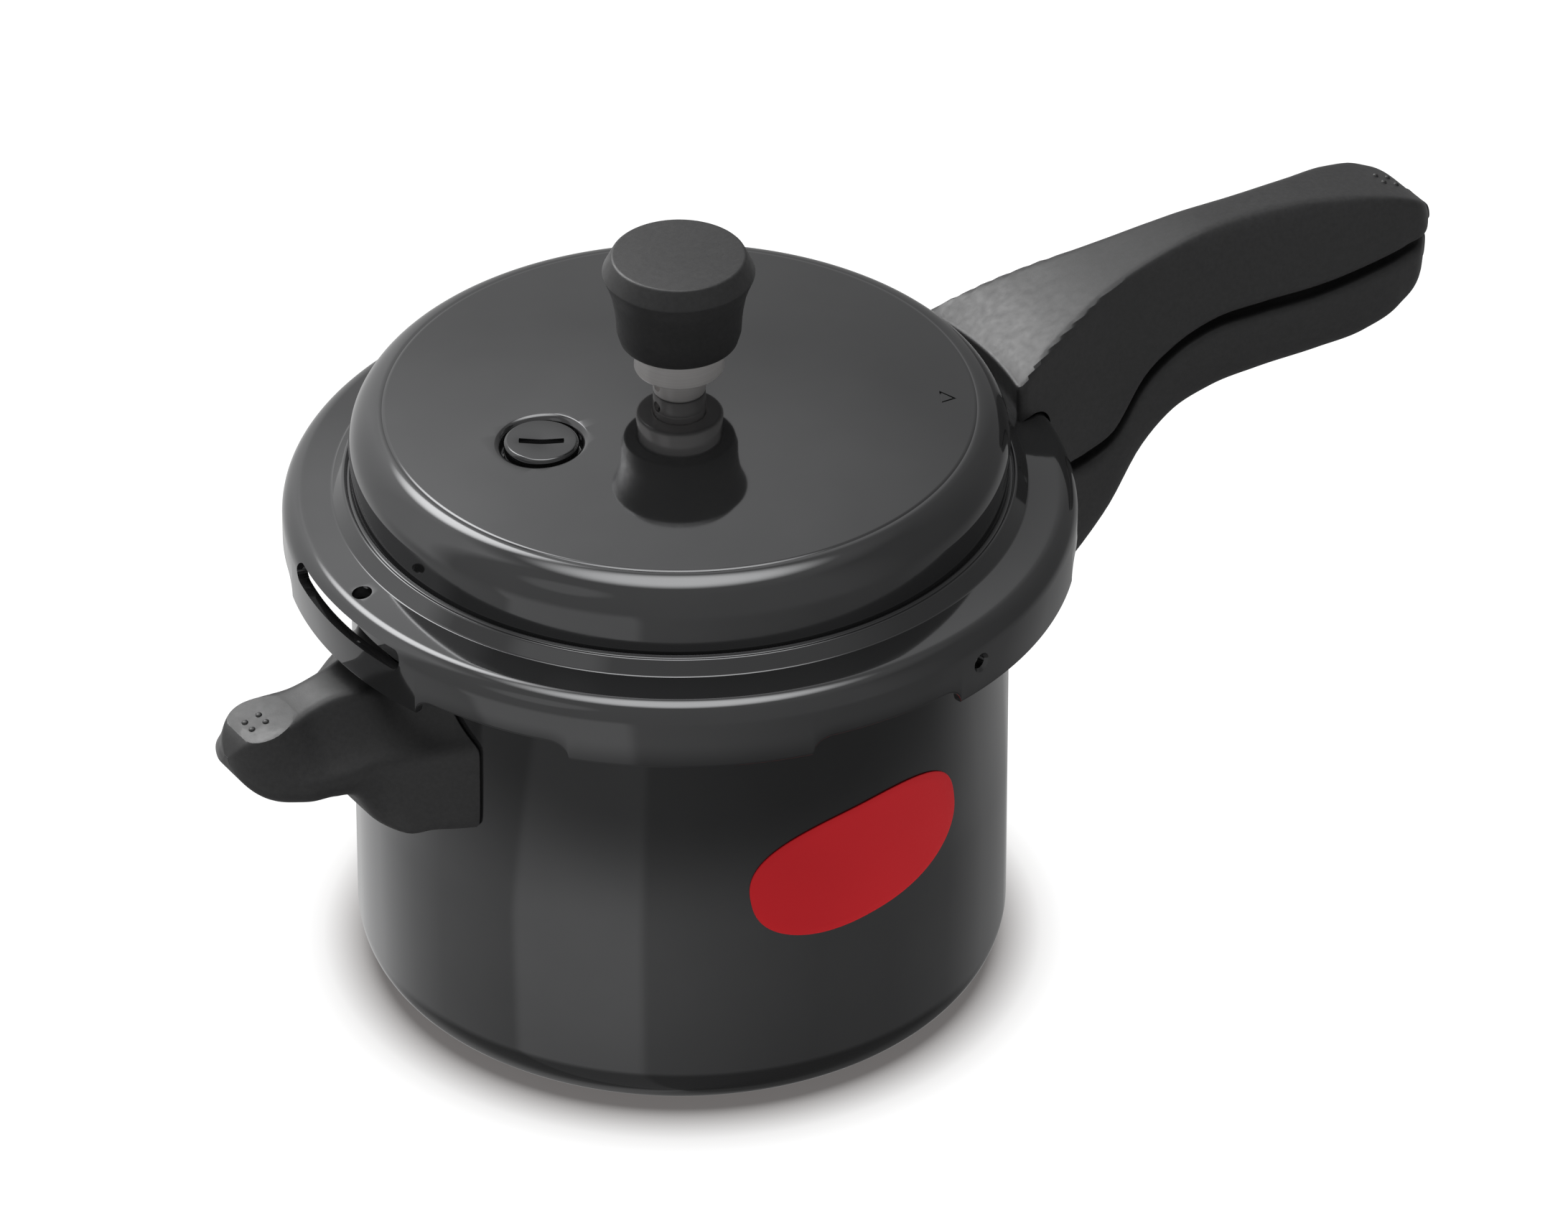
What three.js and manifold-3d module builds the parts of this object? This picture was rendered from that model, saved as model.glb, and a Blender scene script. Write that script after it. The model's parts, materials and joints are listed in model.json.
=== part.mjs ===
// Stovetop pressure cooker with an outer, bayonet-locked lid.
// Millimetres, +Z up. Origin: centre of the pot's flat base. +X runs along the long handle.
import * as THREE from "three";
import { mergeVertices } from "three/addons/utils/BufferGeometryUtils.js";
import Module from "manifold-3d";

const wasm = await Module();
wasm.setup();

// ---------- driving dimensions ----------
const ROUND_STEPS = 48; // facets round the large turned parts
const SMALL_STEPS = 12; // facets round pins, screws and nuts
const FIT_GAP = 0.3; // left between pieces that touch

const POT_RADIUS = 90;
const POT_WALL = 3.25;
const POT_FLOOR = 4.5;
const POT_CORNER = 14.7; // outer fillet between base and wall
const RIM_RADIUS = 97;
const RIM_BOTTOM_Z = 129;
const RIM_TOP_Z = 141;
const LUG_COUNT = 3; // the first stands under the long handle
const LUG_RADIUS = 103.5;
const LUG_HALF_DEG = 13;
const LUG_BOTTOM_Z = 132;
const LUG_TOP_Z = 135.6;

const LID_SHEET = 3;
const CROWN_Z = 178.3;
const LINE_RADIUS = 80.66; // the dome's shallow crown ends here
const LINE_Z = 172.76;
const SHOULDER_CENTRE = [79.11, 162.03]; // radius and height of the shoulder arc's centre
const SHOULDER_ARC = 10.79;
const FLANGE_Z = 147.2; // flat top of the flange round the dome
const FLANGE_FILLET = 3.5; // between the dome's upright wall and the flange
const SKIRT_RADIUS = 108.3;
const FLANGE_ROUNDING = 6.06;
const FLANGE_CENTRE_R = SKIRT_RADIUS - FLANGE_ROUNDING;
const FLANGE_CENTRE_Z = FLANGE_Z - FLANGE_ROUNDING;
const SKIRT_DEEP_Z = 128.2;
const SKIRT_SHALLOW_Z = 133;
const SECTION_COUNT = 6; // deep skirt sections, every second one over a lug
const DEEP_HALF_DEG = 17.5;
const TONGUE_RADIUS = 98.6;
const TONGUE_TOP_Z = 131.4;
const WINDOW_HALF_DEG = 14.5; // gasket-release window, opposite the long handle
const WINDOW_LOW_Z = 138.9;
const WINDOW_HIGH_Z = 144.6;
const SKIRT_HOLE_DEG = -73.4;
const SKIRT_HOLE_Z = 137.4;
const SKIRT_HOLE_RADIUS = 2;
const FLANGE_HOLE_AT = -100.2;
const FLANGE_HOLE_RADIUS = 2.75;

const PLUG_AT = -43.6; // safety plug, on the long handle's axis but on the far side of the lid
const PLUG_SEAT_RADIUS = 13.2;
const PLUG_SEAT_Z = 172.6;
const PLUG_HOLE_RADIUS = 6.3;
const PLUG_SHANK_RADIUS = 5.8;
const PLUG_RADIUS = 9.45;
const PLUG_TOP_Z = 176.2;
const PLUG_BOTTOM_Z = 163.6;
const PLUG_SLOT_HALF = 1.2;
const PLUG_SLOT_DEPTH = 1.3;
const PLUG_SLOT_DEG = -32;
const CORE_RADIUS = 3; // fusible core, in a hole one gap wider
const CORE_LENGTH = 6.6;

const VENT_HOLE_RADIUS = 4.4;
const VENT_SHANK_RADIUS = 3.9;
const VENT_TUBE_RADIUS = 4.4;
const VENT_BORE_RADIUS = 1.3;
const VENT_BOTTOM_Z = 167.6;
const VENT_SHOULDER_RADIUS = 6.5;
const VENT_SHOULDER_TOP = 188.4;
const VENT_TOP = 201.6;

const WEIGHT_RADIUS = 11.9;
const COLLAR_LOW_Z = 206.2; // the needle's collar sits in a groove of the weight
const WEIGHT_LOW_Z = 185.9;
const WEIGHT_HIGH_Z = 212.6;
const CAP_TOP_Z = 221.2;
const CAP_LOW_Z = 193.9;
const CLIP_LOW_Z = 189.4;

const LABEL_DEG = -88;
const LABEL_Z = 75.6;
const LABEL_LONG = 33.5;
const LABEL_SHORT = 18.6;
const LABEL_TILT_DEG = 9;

const ROOT_RADIUS = 97; // inner face of the lid handle, round the dome
const HANDLE_GAP = 0.5; // left between the moulded grips and the metal they sit on
const BRACKET_SHEET = 3;
const RIVET_RADIUS = 2;
const RIVET_HEIGHTS = [91.5, 108.5];
const PLATE_HALF_DEG = 9;
const PLATE_LOW_Z = 87;
const PLATE_HIGH_Z = 113;
const PLATE_SHEET = 2.5;
const TONGUE_HALF = 8;
const TONGUE_LOW_Z = 98.5;
const TONGUE_HIGH_Z = TONGUE_LOW_Z + BRACKET_SHEET + 0.5;
const SCREW_RADIUS = 2.5;
const SCREW_HEAD_RADIUS = 4.5;
const SCREW_HEAD_HEIGHT = 3;
const SCREW_SLOT_HALF = 0.6;
const SCREW_SLOT_DEPTH = 1.2;

const LID_SCREW_X = 113.5;
const LID_SCREW_HEAD_Z = 129;
const LID_TONGUE_REACH = 122;
const LID_TONGUE_HALF = 9;
const LID_SCREW_TIP_Z = 156;
const LID_RIVET_RADIUS = 1.5;
const LID_RIVET_X = 102.8;
const LID_RIVET_Y = 5.5;
const BODY_SCREW_X = 107;
const BODY_SCREW_HEAD_Z = 87.5;
const BODY_TONGUE_REACH = 116;
const HELPER_SCREW_X = 101;
const HELPER_SCREW_HEAD_Z = 90;
const HELPER_TONGUE_REACH = 108;
const WALL_SCREW_TIP_Z = TONGUE_HIGH_Z + 3.5;

// ---------- materials ----------
const paint = (color, roughness, metalness) =>
  new THREE.MeshStandardMaterial({ color, roughness, metalness });
const anodised = () => paint(0x3b3d40, 0.32, 0.85);
const bakelite = () => paint(0x17181a, 0.55, 0);
const rubber = () => paint(0x1b1b1b, 0.85, 0);
const steel = () => paint(0x9c9ea0, 0.35, 0.95);
const brass = () => paint(0xa98f52, 0.35, 0.95);
const labelRed = () => paint(0xb8202a, 0.45, 0);

// ---------- geometry helpers ----------
const rad = THREE.MathUtils.degToRad;
const lerp = THREE.MathUtils.lerp;

/** Solid of a closed geometry. */
function solid(geometry) {
  const bare = geometry.clone();
  bare.deleteAttribute("normal");
  bare.deleteAttribute("uv");
  const merged = mergeVertices(bare, 1e-4);
  return new wasm.Manifold(
    new wasm.Mesh({
      numProp: 3,
      vertProperties: merged.attributes.position.array,
      triVerts: new Uint32Array(merged.index.array),
    }),
  );
}

/** Geometry of a solid. */
function geometryOf(body) {
  const mesh = body.getMesh();
  const geometry = new THREE.BufferGeometry();
  geometry.setAttribute("position", new THREE.BufferAttribute(mesh.vertProperties, 3));
  geometry.setIndex(new THREE.BufferAttribute(mesh.triVerts, 1));
  return geometry.toNonIndexed();
}

/** Cuts every tool away from the base. */
const cut = (base, ...tools) => tools.reduce((left, tool) => left.subtract(tool), base);

/** Joins every piece to the base. */
const join = (base, ...pieces) => pieces.reduce((whole, piece) => whole.add(piece), base);

/** Points of an arc in the (radius, height) plane, ends included. */
function arc(centreR, centreZ, radius, fromDeg, toDeg, steps) {
  return Array.from({ length: steps + 1 }, (_, i) => {
    const angle = rad(lerp(fromDeg, toDeg, i / steps));
    return [centreR + radius * Math.cos(angle), centreZ + radius * Math.sin(angle)];
  });
}

/** Turned solid: the outline runs counter-clockwise in (radius, height) and is closed here. */
function turned(outline, steps = ROUND_STEPS) {
  const points = outline.map(([r, z]) => new THREE.Vector2(Math.max(r, 0), z));
  points.push(points[0].clone());
  const geometry = new THREE.LatheGeometry(points, steps);
  geometry.rotateX(Math.PI / 2);
  return solid(dropFlat(geometry));
}

/** Drops the zero-area triangles that a lathe makes on its axis. */
function dropFlat(geometry) {
  const flat = geometry.toNonIndexed();
  const source = flat.attributes.position;
  const kept = [];
  const corner = [0, 1, 2].map(() => new THREE.Vector3());
  for (let i = 0; i < source.count; i += 3) {
    corner.forEach((point, k) => point.fromBufferAttribute(source, i + k));
    const [a, b, c] = corner;
    const twiceArea = b.clone().sub(a).cross(c.clone().sub(a)).length();
    if (twiceArea > 1e-7) corner.forEach((point) => kept.push(point.x, point.y, point.z));
  }
  const clean = new THREE.BufferGeometry();
  clean.setAttribute("position", new THREE.Float32BufferAttribute(kept, 3));
  return clean;
}

/** Upright cylinder between two heights. */
function post(radius, lowZ, highZ, steps = SMALL_STEPS) {
  return turned([[0, lowZ], [radius, lowZ], [radius, highZ], [0, highZ]], steps);
}

/** Box between two corners. */
function block([x0, y0, z0], [x1, y1, z1]) {
  const geometry = new THREE.BoxGeometry(x1 - x0, y1 - y0, z1 - z0);
  geometry.translate((x0 + x1) / 2, (y0 + y1) / 2, (z0 + z1) / 2);
  return solid(geometry);
}

/** Plane outline pushed up between two heights. */
function prism(shape, lowZ, highZ, curveSegments = 8) {
  const geometry = new THREE.ExtrudeGeometry(shape, {
    depth: highZ - lowZ,
    bevelEnabled: false,
    curveSegments,
  });
  geometry.translate(0, 0, lowZ);
  return solid(geometry);
}

/** Part of a ring about the pot's axis, centred on an angle. */
function sector(innerR, outerR, centreDeg, halfDeg, lowZ, highZ) {
  const from = rad(centreDeg - halfDeg);
  const to = rad(centreDeg + halfDeg);
  const shape = new THREE.Shape();
  shape.absarc(0, 0, outerR, from, to, false);
  shape.absarc(0, 0, innerR, to, from, true);
  shape.closePath();
  const steps = Math.max(4, Math.ceil(halfDeg / 3));
  return prism(shape, lowZ, highZ, steps);
}

/** Cylinder lying along +X, between two X values, at a side offset and height. */
function dowel(radius, fromX, toX, y, z, steps = SMALL_STEPS) {
  const geometry = new THREE.CylinderGeometry(radius, radius, toX - fromX, steps);
  geometry.rotateZ(-Math.PI / 2);
  geometry.translate((fromX + toX) / 2, y, z);
  return solid(geometry);
}

const moved = (body, x, y, z = 0) => body.translate([x, y, z]);
const turnedBy = (body, degrees) => body.rotate([0, 0, degrees]);

/** Skin over closed sections that all have the same number of points, with flat ends. */
function loft(sections) {
  const count = sections[0].length;
  const corners = [];
  const put = (...points) => points.forEach((p) => corners.push(...p));
  for (let i = 0; i + 1 < sections.length; i++) {
    for (let k = 0; k < count; k++) {
      const next = (k + 1) % count;
      const [a, b] = [sections[i][k], sections[i][next]];
      const [c, d] = [sections[i + 1][next], sections[i + 1][k]];
      put(a, b, c);
      put(a, c, d);
    }
  }
  const middle = (ring) => [0, 1, 2].map((axis) => ring.reduce((sum, p) => sum + p[axis], 0) / count);
  const [first, last] = [sections[0], sections.at(-1)];
  for (let k = 0; k < count; k++) {
    const next = (k + 1) % count;
    put(first[next], first[k], middle(first));
    put(last[k], last[next], middle(last));
  }
  const geometry = new THREE.BufferGeometry();
  geometry.setAttribute("position", new THREE.Float32BufferAttribute(corners, 3));
  return solid(geometry);
}

/** Smooth values between the rows of a table whose first column is the distance from the axis. */
function smoothRows(rows) {
  const size = rows[0].length - 1;
  const places = rows.map((row) => row[0]);
  const values = rows.flatMap((row) => row.slice(1));
  const fit = new THREE.CubicInterpolant(places, values, size, new Float32Array(size));
  return (x) => Array.from(fit.evaluate(x));
}

/** Points of a quadratic curve in the (y, z) plane without its first point. */
function bend([y0, z0], [yc, zc], [y1, z1], steps) {
  return Array.from({ length: steps }, (_, i) => {
    const t = (i + 1) / steps;
    const along = (a, b, c) => (1 - t) ** 2 * a + 2 * t * (1 - t) * b + t ** 2 * c;
    return [along(y0, yc, y1), along(z0, zc, z1)];
  });
}

/** Closed section of a moulded grip: flat top, swelling side, rounded underside. */
function gripSection(x, size, swell) {
  const [topZ, topHalf, sideZ, sideHalf, lowZ, lowHalf] = size;
  const hip = [lerp(topHalf, sideHalf, swell), lerp(topZ, sideZ, 1 - swell)];
  const half = [
    [topHalf, topZ],
    ...bend([topHalf, topZ], hip, [sideHalf, sideZ], 4),
    ...bend([sideHalf, sideZ], [sideHalf, lowZ], [lowHalf, lowZ], 3),
  ];
  const other = half.map(([y, z]) => [-y, z]).reverse();
  return [...half, ...other].reverse().map(([y, z]) => [x, y, z]);
}

/** Moulded grip through the stations, sampled more closely towards its tip. */
function grip(stations, swell, steps) {
  const sizeAt = smoothRows(stations);
  const start = stations[0][0];
  const end = stations.at(-1)[0];
  const sections = Array.from({ length: steps + 1 }, (_, i) => {
    const share = i / steps;
    const x = lerp(start, end, Math.sin((share * Math.PI) / 2) * 0.5 + share * 0.5);
    return gripSection(x, sizeAt(x), swell);
  });
  return loft(sections);
}

// ---------- pot ----------

/** Deep pot: flat base, filleted corner, straight wall and a thick rim ring with bayonet lugs. */
function potBody() {
  const inside = POT_RADIUS - POT_WALL;
  const insideCorner = POT_CORNER - POT_WALL;
  const outline = [
    [0, 0],
    ...arc(POT_RADIUS - POT_CORNER, POT_CORNER, POT_CORNER, -90, 0, 5),
    [POT_RADIUS, RIM_BOTTOM_Z - 3],
    [RIM_RADIUS, RIM_BOTTOM_Z + 1.5],
    [RIM_RADIUS, RIM_TOP_Z - 1],
    [RIM_RADIUS - 1, RIM_TOP_Z],
    [inside, RIM_TOP_Z],
    ...arc(inside - insideCorner, POT_FLOOR + insideCorner, insideCorner, 0, -90, 4),
    [0, POT_FLOOR],
  ];
  const lugs = Array.from({ length: LUG_COUNT }, (_, i) =>
    sector(RIM_RADIUS - 2, LUG_RADIUS, (i * 360) / LUG_COUNT, LUG_HALF_DEG, LUG_BOTTOM_Z, LUG_TOP_Z),
  );
  const rivetHoles = [0, 180].flatMap((deg) =>
    RIVET_HEIGHTS.map((z) => turnedBy(dowel(RIVET_RADIUS + FIT_GAP, inside - 3, POT_RADIUS + 3, 0, z), deg)),
  );
  return cut(join(turned(outline), ...lugs), ...rivetHoles);
}

// ---------- brackets, rivets and screws ----------

/** Wall bracket: a curved plate on the pot wall with a flat tongue that enters the handle. */
function wallBracket(reach, screwX) {
  const plateR = POT_RADIUS + FIT_GAP;
  const plate = sector(plateR, plateR + PLATE_SHEET, 0, PLATE_HALF_DEG, PLATE_LOW_Z, PLATE_HIGH_Z);
  const tongue = block([plateR + 1, -TONGUE_HALF, TONGUE_LOW_Z], [reach, TONGUE_HALF, TONGUE_HIGH_Z]);
  const rivetHoles = RIVET_HEIGHTS.map((z) =>
    dowel(RIVET_RADIUS + FIT_GAP, POT_RADIUS - 3, plateR + PLATE_SHEET + 3, 0, z),
  );
  const screwHole = moved(post(SCREW_RADIUS + FIT_GAP, TONGUE_LOW_Z - 1, TONGUE_HIGH_Z + 1), screwX, 0);
  return cut(join(plate, tongue), ...rivetHoles, screwHole);
}

/** Space that a wall bracket, its rivets and its screw need inside a moulded handle. */
function wallBracketRoom(reach, screwX, headZ) {
  const outer = POT_RADIUS + PLATE_SHEET + 2.6;
  const bore = SCREW_RADIUS + FIT_GAP;
  return join(
    sector(POT_RADIUS - 5, outer, 0, PLATE_HALF_DEG + 0.6, PLATE_LOW_Z - 0.5, PLATE_HIGH_Z + 0.5),
    block(
      [POT_RADIUS - 2, -TONGUE_HALF - 0.4, TONGUE_LOW_Z - 0.4],
      [reach + 0.4, TONGUE_HALF + 0.4, TONGUE_HIGH_Z + 0.4],
    ),
    moved(post(bore, headZ, TONGUE_HIGH_Z + 5), screwX, 0),
    moved(post(SCREW_HEAD_RADIUS + 0.5, headZ - 30, headZ + FIT_GAP), screwX, 0),
  );
}

/** Dome-headed rivet through the pot wall and a wall bracket. */
function wallRivet(z) {
  const inner = POT_RADIUS - POT_WALL;
  const outer = POT_RADIUS + FIT_GAP + PLATE_SHEET;
  const headR = 2 * RIVET_RADIUS;
  const profile = [
    [0, inner - 1.8],
    [0.6 * headR, inner - 1.5],
    [headR, inner - FIT_GAP],
    [RIVET_RADIUS, inner - FIT_GAP],
    [RIVET_RADIUS, outer + FIT_GAP],
    [headR, outer + FIT_GAP],
    [0.6 * headR, outer + 1.3],
    [0, outer + 1.5],
  ];
  return turned(profile, SMALL_STEPS).rotate([0, 90, 0]).translate([0, 0, z]);
}

/** Pan-head screw standing on its head, driven from below. */
function screw(x, headZ, tipZ) {
  const shape = [
    [0, headZ - SCREW_HEAD_HEIGHT],
    [SCREW_HEAD_RADIUS - 1, headZ - SCREW_HEAD_HEIGHT],
    [SCREW_HEAD_RADIUS, headZ - SCREW_HEAD_HEIGHT + 1],
    [SCREW_HEAD_RADIUS, headZ],
    [SCREW_RADIUS, headZ],
    [SCREW_RADIUS, tipZ],
    [0, tipZ],
  ];
  const slot = block(
    [-SCREW_HEAD_RADIUS - 1, -SCREW_SLOT_HALF, headZ - SCREW_HEAD_HEIGHT - 1],
    [SCREW_HEAD_RADIUS + 1, SCREW_SLOT_HALF, headZ - SCREW_HEAD_HEIGHT + SCREW_SLOT_DEPTH],
  );
  return moved(cut(turned(shape, SMALL_STEPS), slot), x, 0);
}

// ---------- handles ----------
// Columns: distance from the pot's axis, top height, half width of the top face,
// height and half width of the widest line, height and half width of the underside.
const LID_HANDLE_STATIONS = [
  [90, 150, 25.6, 126, 26.4, 124, 25],
  [94, 154.8, 24.8, 126, 25.4, 124, 24],
  [98, 158.6, 23.6, 126, 24.4, 124, 23],
  [106, 163.5, 20.2, 126, 21.2, 124, 20],
  [122, 169.4, 14.8, 126, 17, 124, 15.5],
  [132, 171.8, 11.7, 129, 15.4, 127, 14],
  [142, 173.6, 9.4, 142, 14.4, 140, 13],
  [152, 175.1, 7.8, 148.5, 13.8, 146.5, 12.4],
  [166, 176.5, 6.1, 153, 13.6, 151, 12.2],
  [182, 176.4, 5.3, 153.2, 14, 151.4, 12.6],
  [202, 175, 6.9, 152.6, 14.3, 150.8, 12.9],
  [218, 172.3, 10.2, 153.8, 14.5, 152.2, 13],
  [230, 168.4, 11.2, 155.2, 13.6, 153.6, 12.4],
  [239, 162.6, 8.6, 156, 10.4, 154.4, 9.6],
  [242.6, 158.6, 4.2, 156.4, 5.2, 155, 4.6],
];

const BODY_HANDLE_STATIONS = [
  [84, 120.6, 22, 116.6, 25.5, 73, 17],
  [98, 120.6, 20, 116.6, 23, 75.5, 15],
  [112, 120.6, 16.5, 116.6, 19, 82.8, 12],
  [124, 120.6, 14, 116.8, 16.5, 91, 10],
  [132, 123.4, 12.8, 119.4, 15.3, 99.2, 9.4],
  [142, 136, 12, 132, 14.4, 113.8, 9],
  [152, 143, 11.4, 139, 13.8, 122.4, 8.6],
  [166, 147.6, 11.2, 143.6, 13.6, 126.9, 8.4],
  [182, 148, 11.6, 144, 14, 128, 8.6],
  [202, 147.4, 12, 143.1, 14.3, 127.8, 8.8],
  [218, 148.8, 12, 145, 14.3, 128.4, 9],
  [230, 150.2, 11, 147, 13, 131.8, 8.2],
  [238, 151, 8.2, 148.4, 9.8, 137.5, 6.2],
  [241.6, 151.2, 4, 149.4, 5, 142, 3.4],
];

const HELPER_STATIONS = [
  [84, 121, 31, 110.6, 33.6, 84, 32.4],
  [91, 122, 22, 110, 31.4, 84, 30.6],
  [98, 122.4, 10.8, 108.8, 27.8, 84, 27.8],
  [104, 122.5, 8.6, 107, 24, 84, 25],
  [108, 122.3, 7.4, 106.2, 22, 86.4, 18.6],
  [113, 121.8, 6.4, 105.4, 21, 95, 16],
  [120, 120.5, 6.4, 105, 20.2, 97.7, 15],
  [127, 119.2, 8.2, 104.8, 19.6, 98.2, 14.4],
  [134, 118, 9.8, 105, 16.8, 99.2, 12],
  [139.6, 116.2, 7.2, 105.8, 11.4, 101, 8],
  [143.4, 113, 3.4, 107.4, 5, 104.2, 3.6],
];

/** Upper half of the long handle, notched over the lid's flange. */
function lidHandle() {
  const top = FLANGE_Z + 0.7;
  const clear = FLANGE_ROUNDING + 0.7;
  const flangeRoom = turned([
    [0, 90],
    [FLANGE_CENTRE_R + clear, 90],
    ...arc(FLANGE_CENTRE_R, FLANGE_CENTRE_Z, clear, 0, 90, 3),
    [ROOT_RADIUS, top + 1.6],
    [ROOT_RADIUS, 200],
    [0, 200],
  ]);
  const bracketRoom = block(
    [99.8, -LID_TONGUE_HALF - 0.4, top - 2],
    [LID_TONGUE_REACH + 0.4, LID_TONGUE_HALF + 0.4, FLANGE_Z + BRACKET_SHEET + 0.8],
  );
  const rivetRoom = block([99.8, -LID_TONGUE_HALF, top], [105.6, LID_TONGUE_HALF, top + 5]);
  const bore = moved(post(SCREW_RADIUS + FIT_GAP, LID_SCREW_HEAD_Z, LID_SCREW_TIP_Z + 1), LID_SCREW_X, 0);
  const headRoom = moved(post(SCREW_HEAD_RADIUS + 0.5, 110, LID_SCREW_HEAD_Z + FIT_GAP), LID_SCREW_X, 0);
  return cut(grip(LID_HANDLE_STATIONS, 0.8, 22), flangeRoom, bracketRoom, rivetRoom, bore, headRoom);
}

/** Lower half of the long handle, on the pot. */
function bodyHandle() {
  const potRoom = post(POT_RADIUS + HANDLE_GAP, 0, RIM_TOP_Z, ROUND_STEPS);
  const bracketRoom = wallBracketRoom(BODY_TONGUE_REACH, BODY_SCREW_X, BODY_SCREW_HEAD_Z);
  return cut(grip(BODY_HANDLE_STATIONS, 1, 22), potRoom, bracketRoom);
}

/** Short grip opposite the long handle, built along +X and turned round to -X. */
function helperHandle() {
  const potRoom = post(POT_RADIUS + HANDLE_GAP, 0, RIM_TOP_Z, ROUND_STEPS);
  const bracketRoom = wallBracketRoom(HELPER_TONGUE_REACH, HELPER_SCREW_X, HELPER_SCREW_HEAD_Z);
  return turnedBy(cut(grip(HELPER_STATIONS, 0.38, 18), potRoom, bracketRoom), 180);
}

// ---------- lid ----------

/** Lid outline from the crown's centre to the skirt's edge, moved inwards by an offset. */
function lidOutline(inward, arcSteps) {
  const crownEnd = LINE_RADIUS - 0.14 * inward;
  const crown = Array.from({ length: arcSteps }, (_, i) => {
    const share = i / arcSteps;
    return [crownEnd * share, CROWN_Z - inward - (CROWN_Z - LINE_Z) * share ** 2];
  });
  const [shoulderR, shoulderZ] = SHOULDER_CENTRE;
  const shoulder = arc(shoulderR, shoulderZ, SHOULDER_ARC - inward, 82, 0, arcSteps);
  const filletR = shoulderR + SHOULDER_ARC + FLANGE_FILLET;
  const fillet = arc(filletR, FLANGE_Z + FLANGE_FILLET, FLANGE_FILLET + inward, 180, 270, arcSteps - 1);
  const rounding = arc(FLANGE_CENTRE_R, FLANGE_CENTRE_Z, FLANGE_ROUNDING - inward, 90, 0, arcSteps - 1);
  return [...crown, ...shoulder, ...fillet, ...rounding, [SKIRT_RADIUS - inward, SKIRT_DEEP_Z]];
}

/** Domed lid with its rounded flange, bayonet skirt, tongues, window and holes. */
function lidShell() {
  const outline = [...lidOutline(LID_SHEET, 3), ...lidOutline(0, 5).reverse()];
  const pitch = 360 / SECTION_COUNT;
  const scallops = Array.from({ length: SECTION_COUNT }, (_, i) =>
    sector(95, 112, (i + 0.5) * pitch, pitch / 2 - DEEP_HALF_DEG, SKIRT_DEEP_Z - 2, SKIRT_SHALLOW_Z),
  );
  const tongues = Array.from({ length: LUG_COUNT }, (_, i) =>
    sector(
      TONGUE_RADIUS,
      SKIRT_RADIUS - 1.5,
      (i * 360) / LUG_COUNT,
      LUG_HALF_DEG,
      SKIRT_DEEP_Z + 0.2,
      TONGUE_TOP_Z,
    ),
  );
  const window = sector(100, 112, 180, WINDOW_HALF_DEG, WINDOW_LOW_Z, WINDOW_HIGH_Z);
  const skirtHole = turnedBy(dowel(SKIRT_HOLE_RADIUS, 100, 112, 0, SKIRT_HOLE_Z), SKIRT_HOLE_DEG);
  const flangeHole = moved(post(FLANGE_HOLE_RADIUS, 140, 150), FLANGE_HOLE_AT, 0);
  const plugSeat = moved(post(PLUG_SEAT_RADIUS, PLUG_SEAT_Z, 185, 32), PLUG_AT, 0);
  const plugFloor = moved(post(PLUG_SEAT_RADIUS + 2, PLUG_SEAT_Z - LID_SHEET, PLUG_SEAT_Z + 1, 32), PLUG_AT, 0);
  const plugHole = moved(post(PLUG_HOLE_RADIUS, 165, 185), PLUG_AT, 0);
  const ventHole = post(VENT_HOLE_RADIUS, 165, 185);
  const rivetHoles = [-1, 1].map((side) =>
    moved(post(LID_RIVET_RADIUS + FIT_GAP, 140, 150), LID_RIVET_X, side * LID_RIVET_Y),
  );
  return cut(
    join(cut(turned(outline), ...scallops), ...tongues, plugFloor),
    window,
    skirtHole,
    flangeHole,
    plugSeat,
    plugHole,
    ventHole,
    ...rivetHoles,
  );
}

/** Flat bracket from the lid's flange into the lid handle. */
function lidBracket() {
  const low = FLANGE_Z + FIT_GAP;
  const plate = block([100.4, -LID_TONGUE_HALF, low], [LID_TONGUE_REACH, LID_TONGUE_HALF, low + BRACKET_SHEET]);
  const rivetHoles = [-1, 1].map((side) =>
    moved(post(LID_RIVET_RADIUS + FIT_GAP, 140, 155), LID_RIVET_X, side * LID_RIVET_Y),
  );
  return cut(plate, ...rivetHoles, moved(post(SCREW_RADIUS + FIT_GAP, 140, 155), LID_SCREW_X, 0));
}

/** Rivet from the lid's flange up through the lid bracket, flush underneath. */
function lidRivet(side) {
  const headZ = FLANGE_Z + BRACKET_SHEET + 2 * FIT_GAP;
  const profile = [
    [0, FLANGE_Z - LID_SHEET + 0.2],
    [LID_RIVET_RADIUS, FLANGE_Z - LID_SHEET + 0.2],
    [LID_RIVET_RADIUS, headZ],
    [2, headZ],
    [1.4, headZ + 1],
    [0, headZ + 1.2],
  ];
  return moved(turned(profile, SMALL_STEPS), LID_RIVET_X, side * LID_RIVET_Y);
}

/** Sealing ring under the lid's flange: a flat lip on the rim and a bead at its outer edge. */
function lidGasket() {
  const top = FLANGE_Z - LID_SHEET - FIT_GAP;
  return turned([
    [91.6, RIM_TOP_Z + FIT_GAP],
    [98.6, RIM_TOP_Z + FIT_GAP],
    [99, RIM_TOP_Z - 1.2],
    [101.8, RIM_TOP_Z - 1.2],
    [102.8, RIM_TOP_Z],
    [102.8, top],
    [93.4, top],
    [91.6, RIM_TOP_Z + 1.2],
  ]);
}

// ---------- steam vent, safety plug ----------

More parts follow.
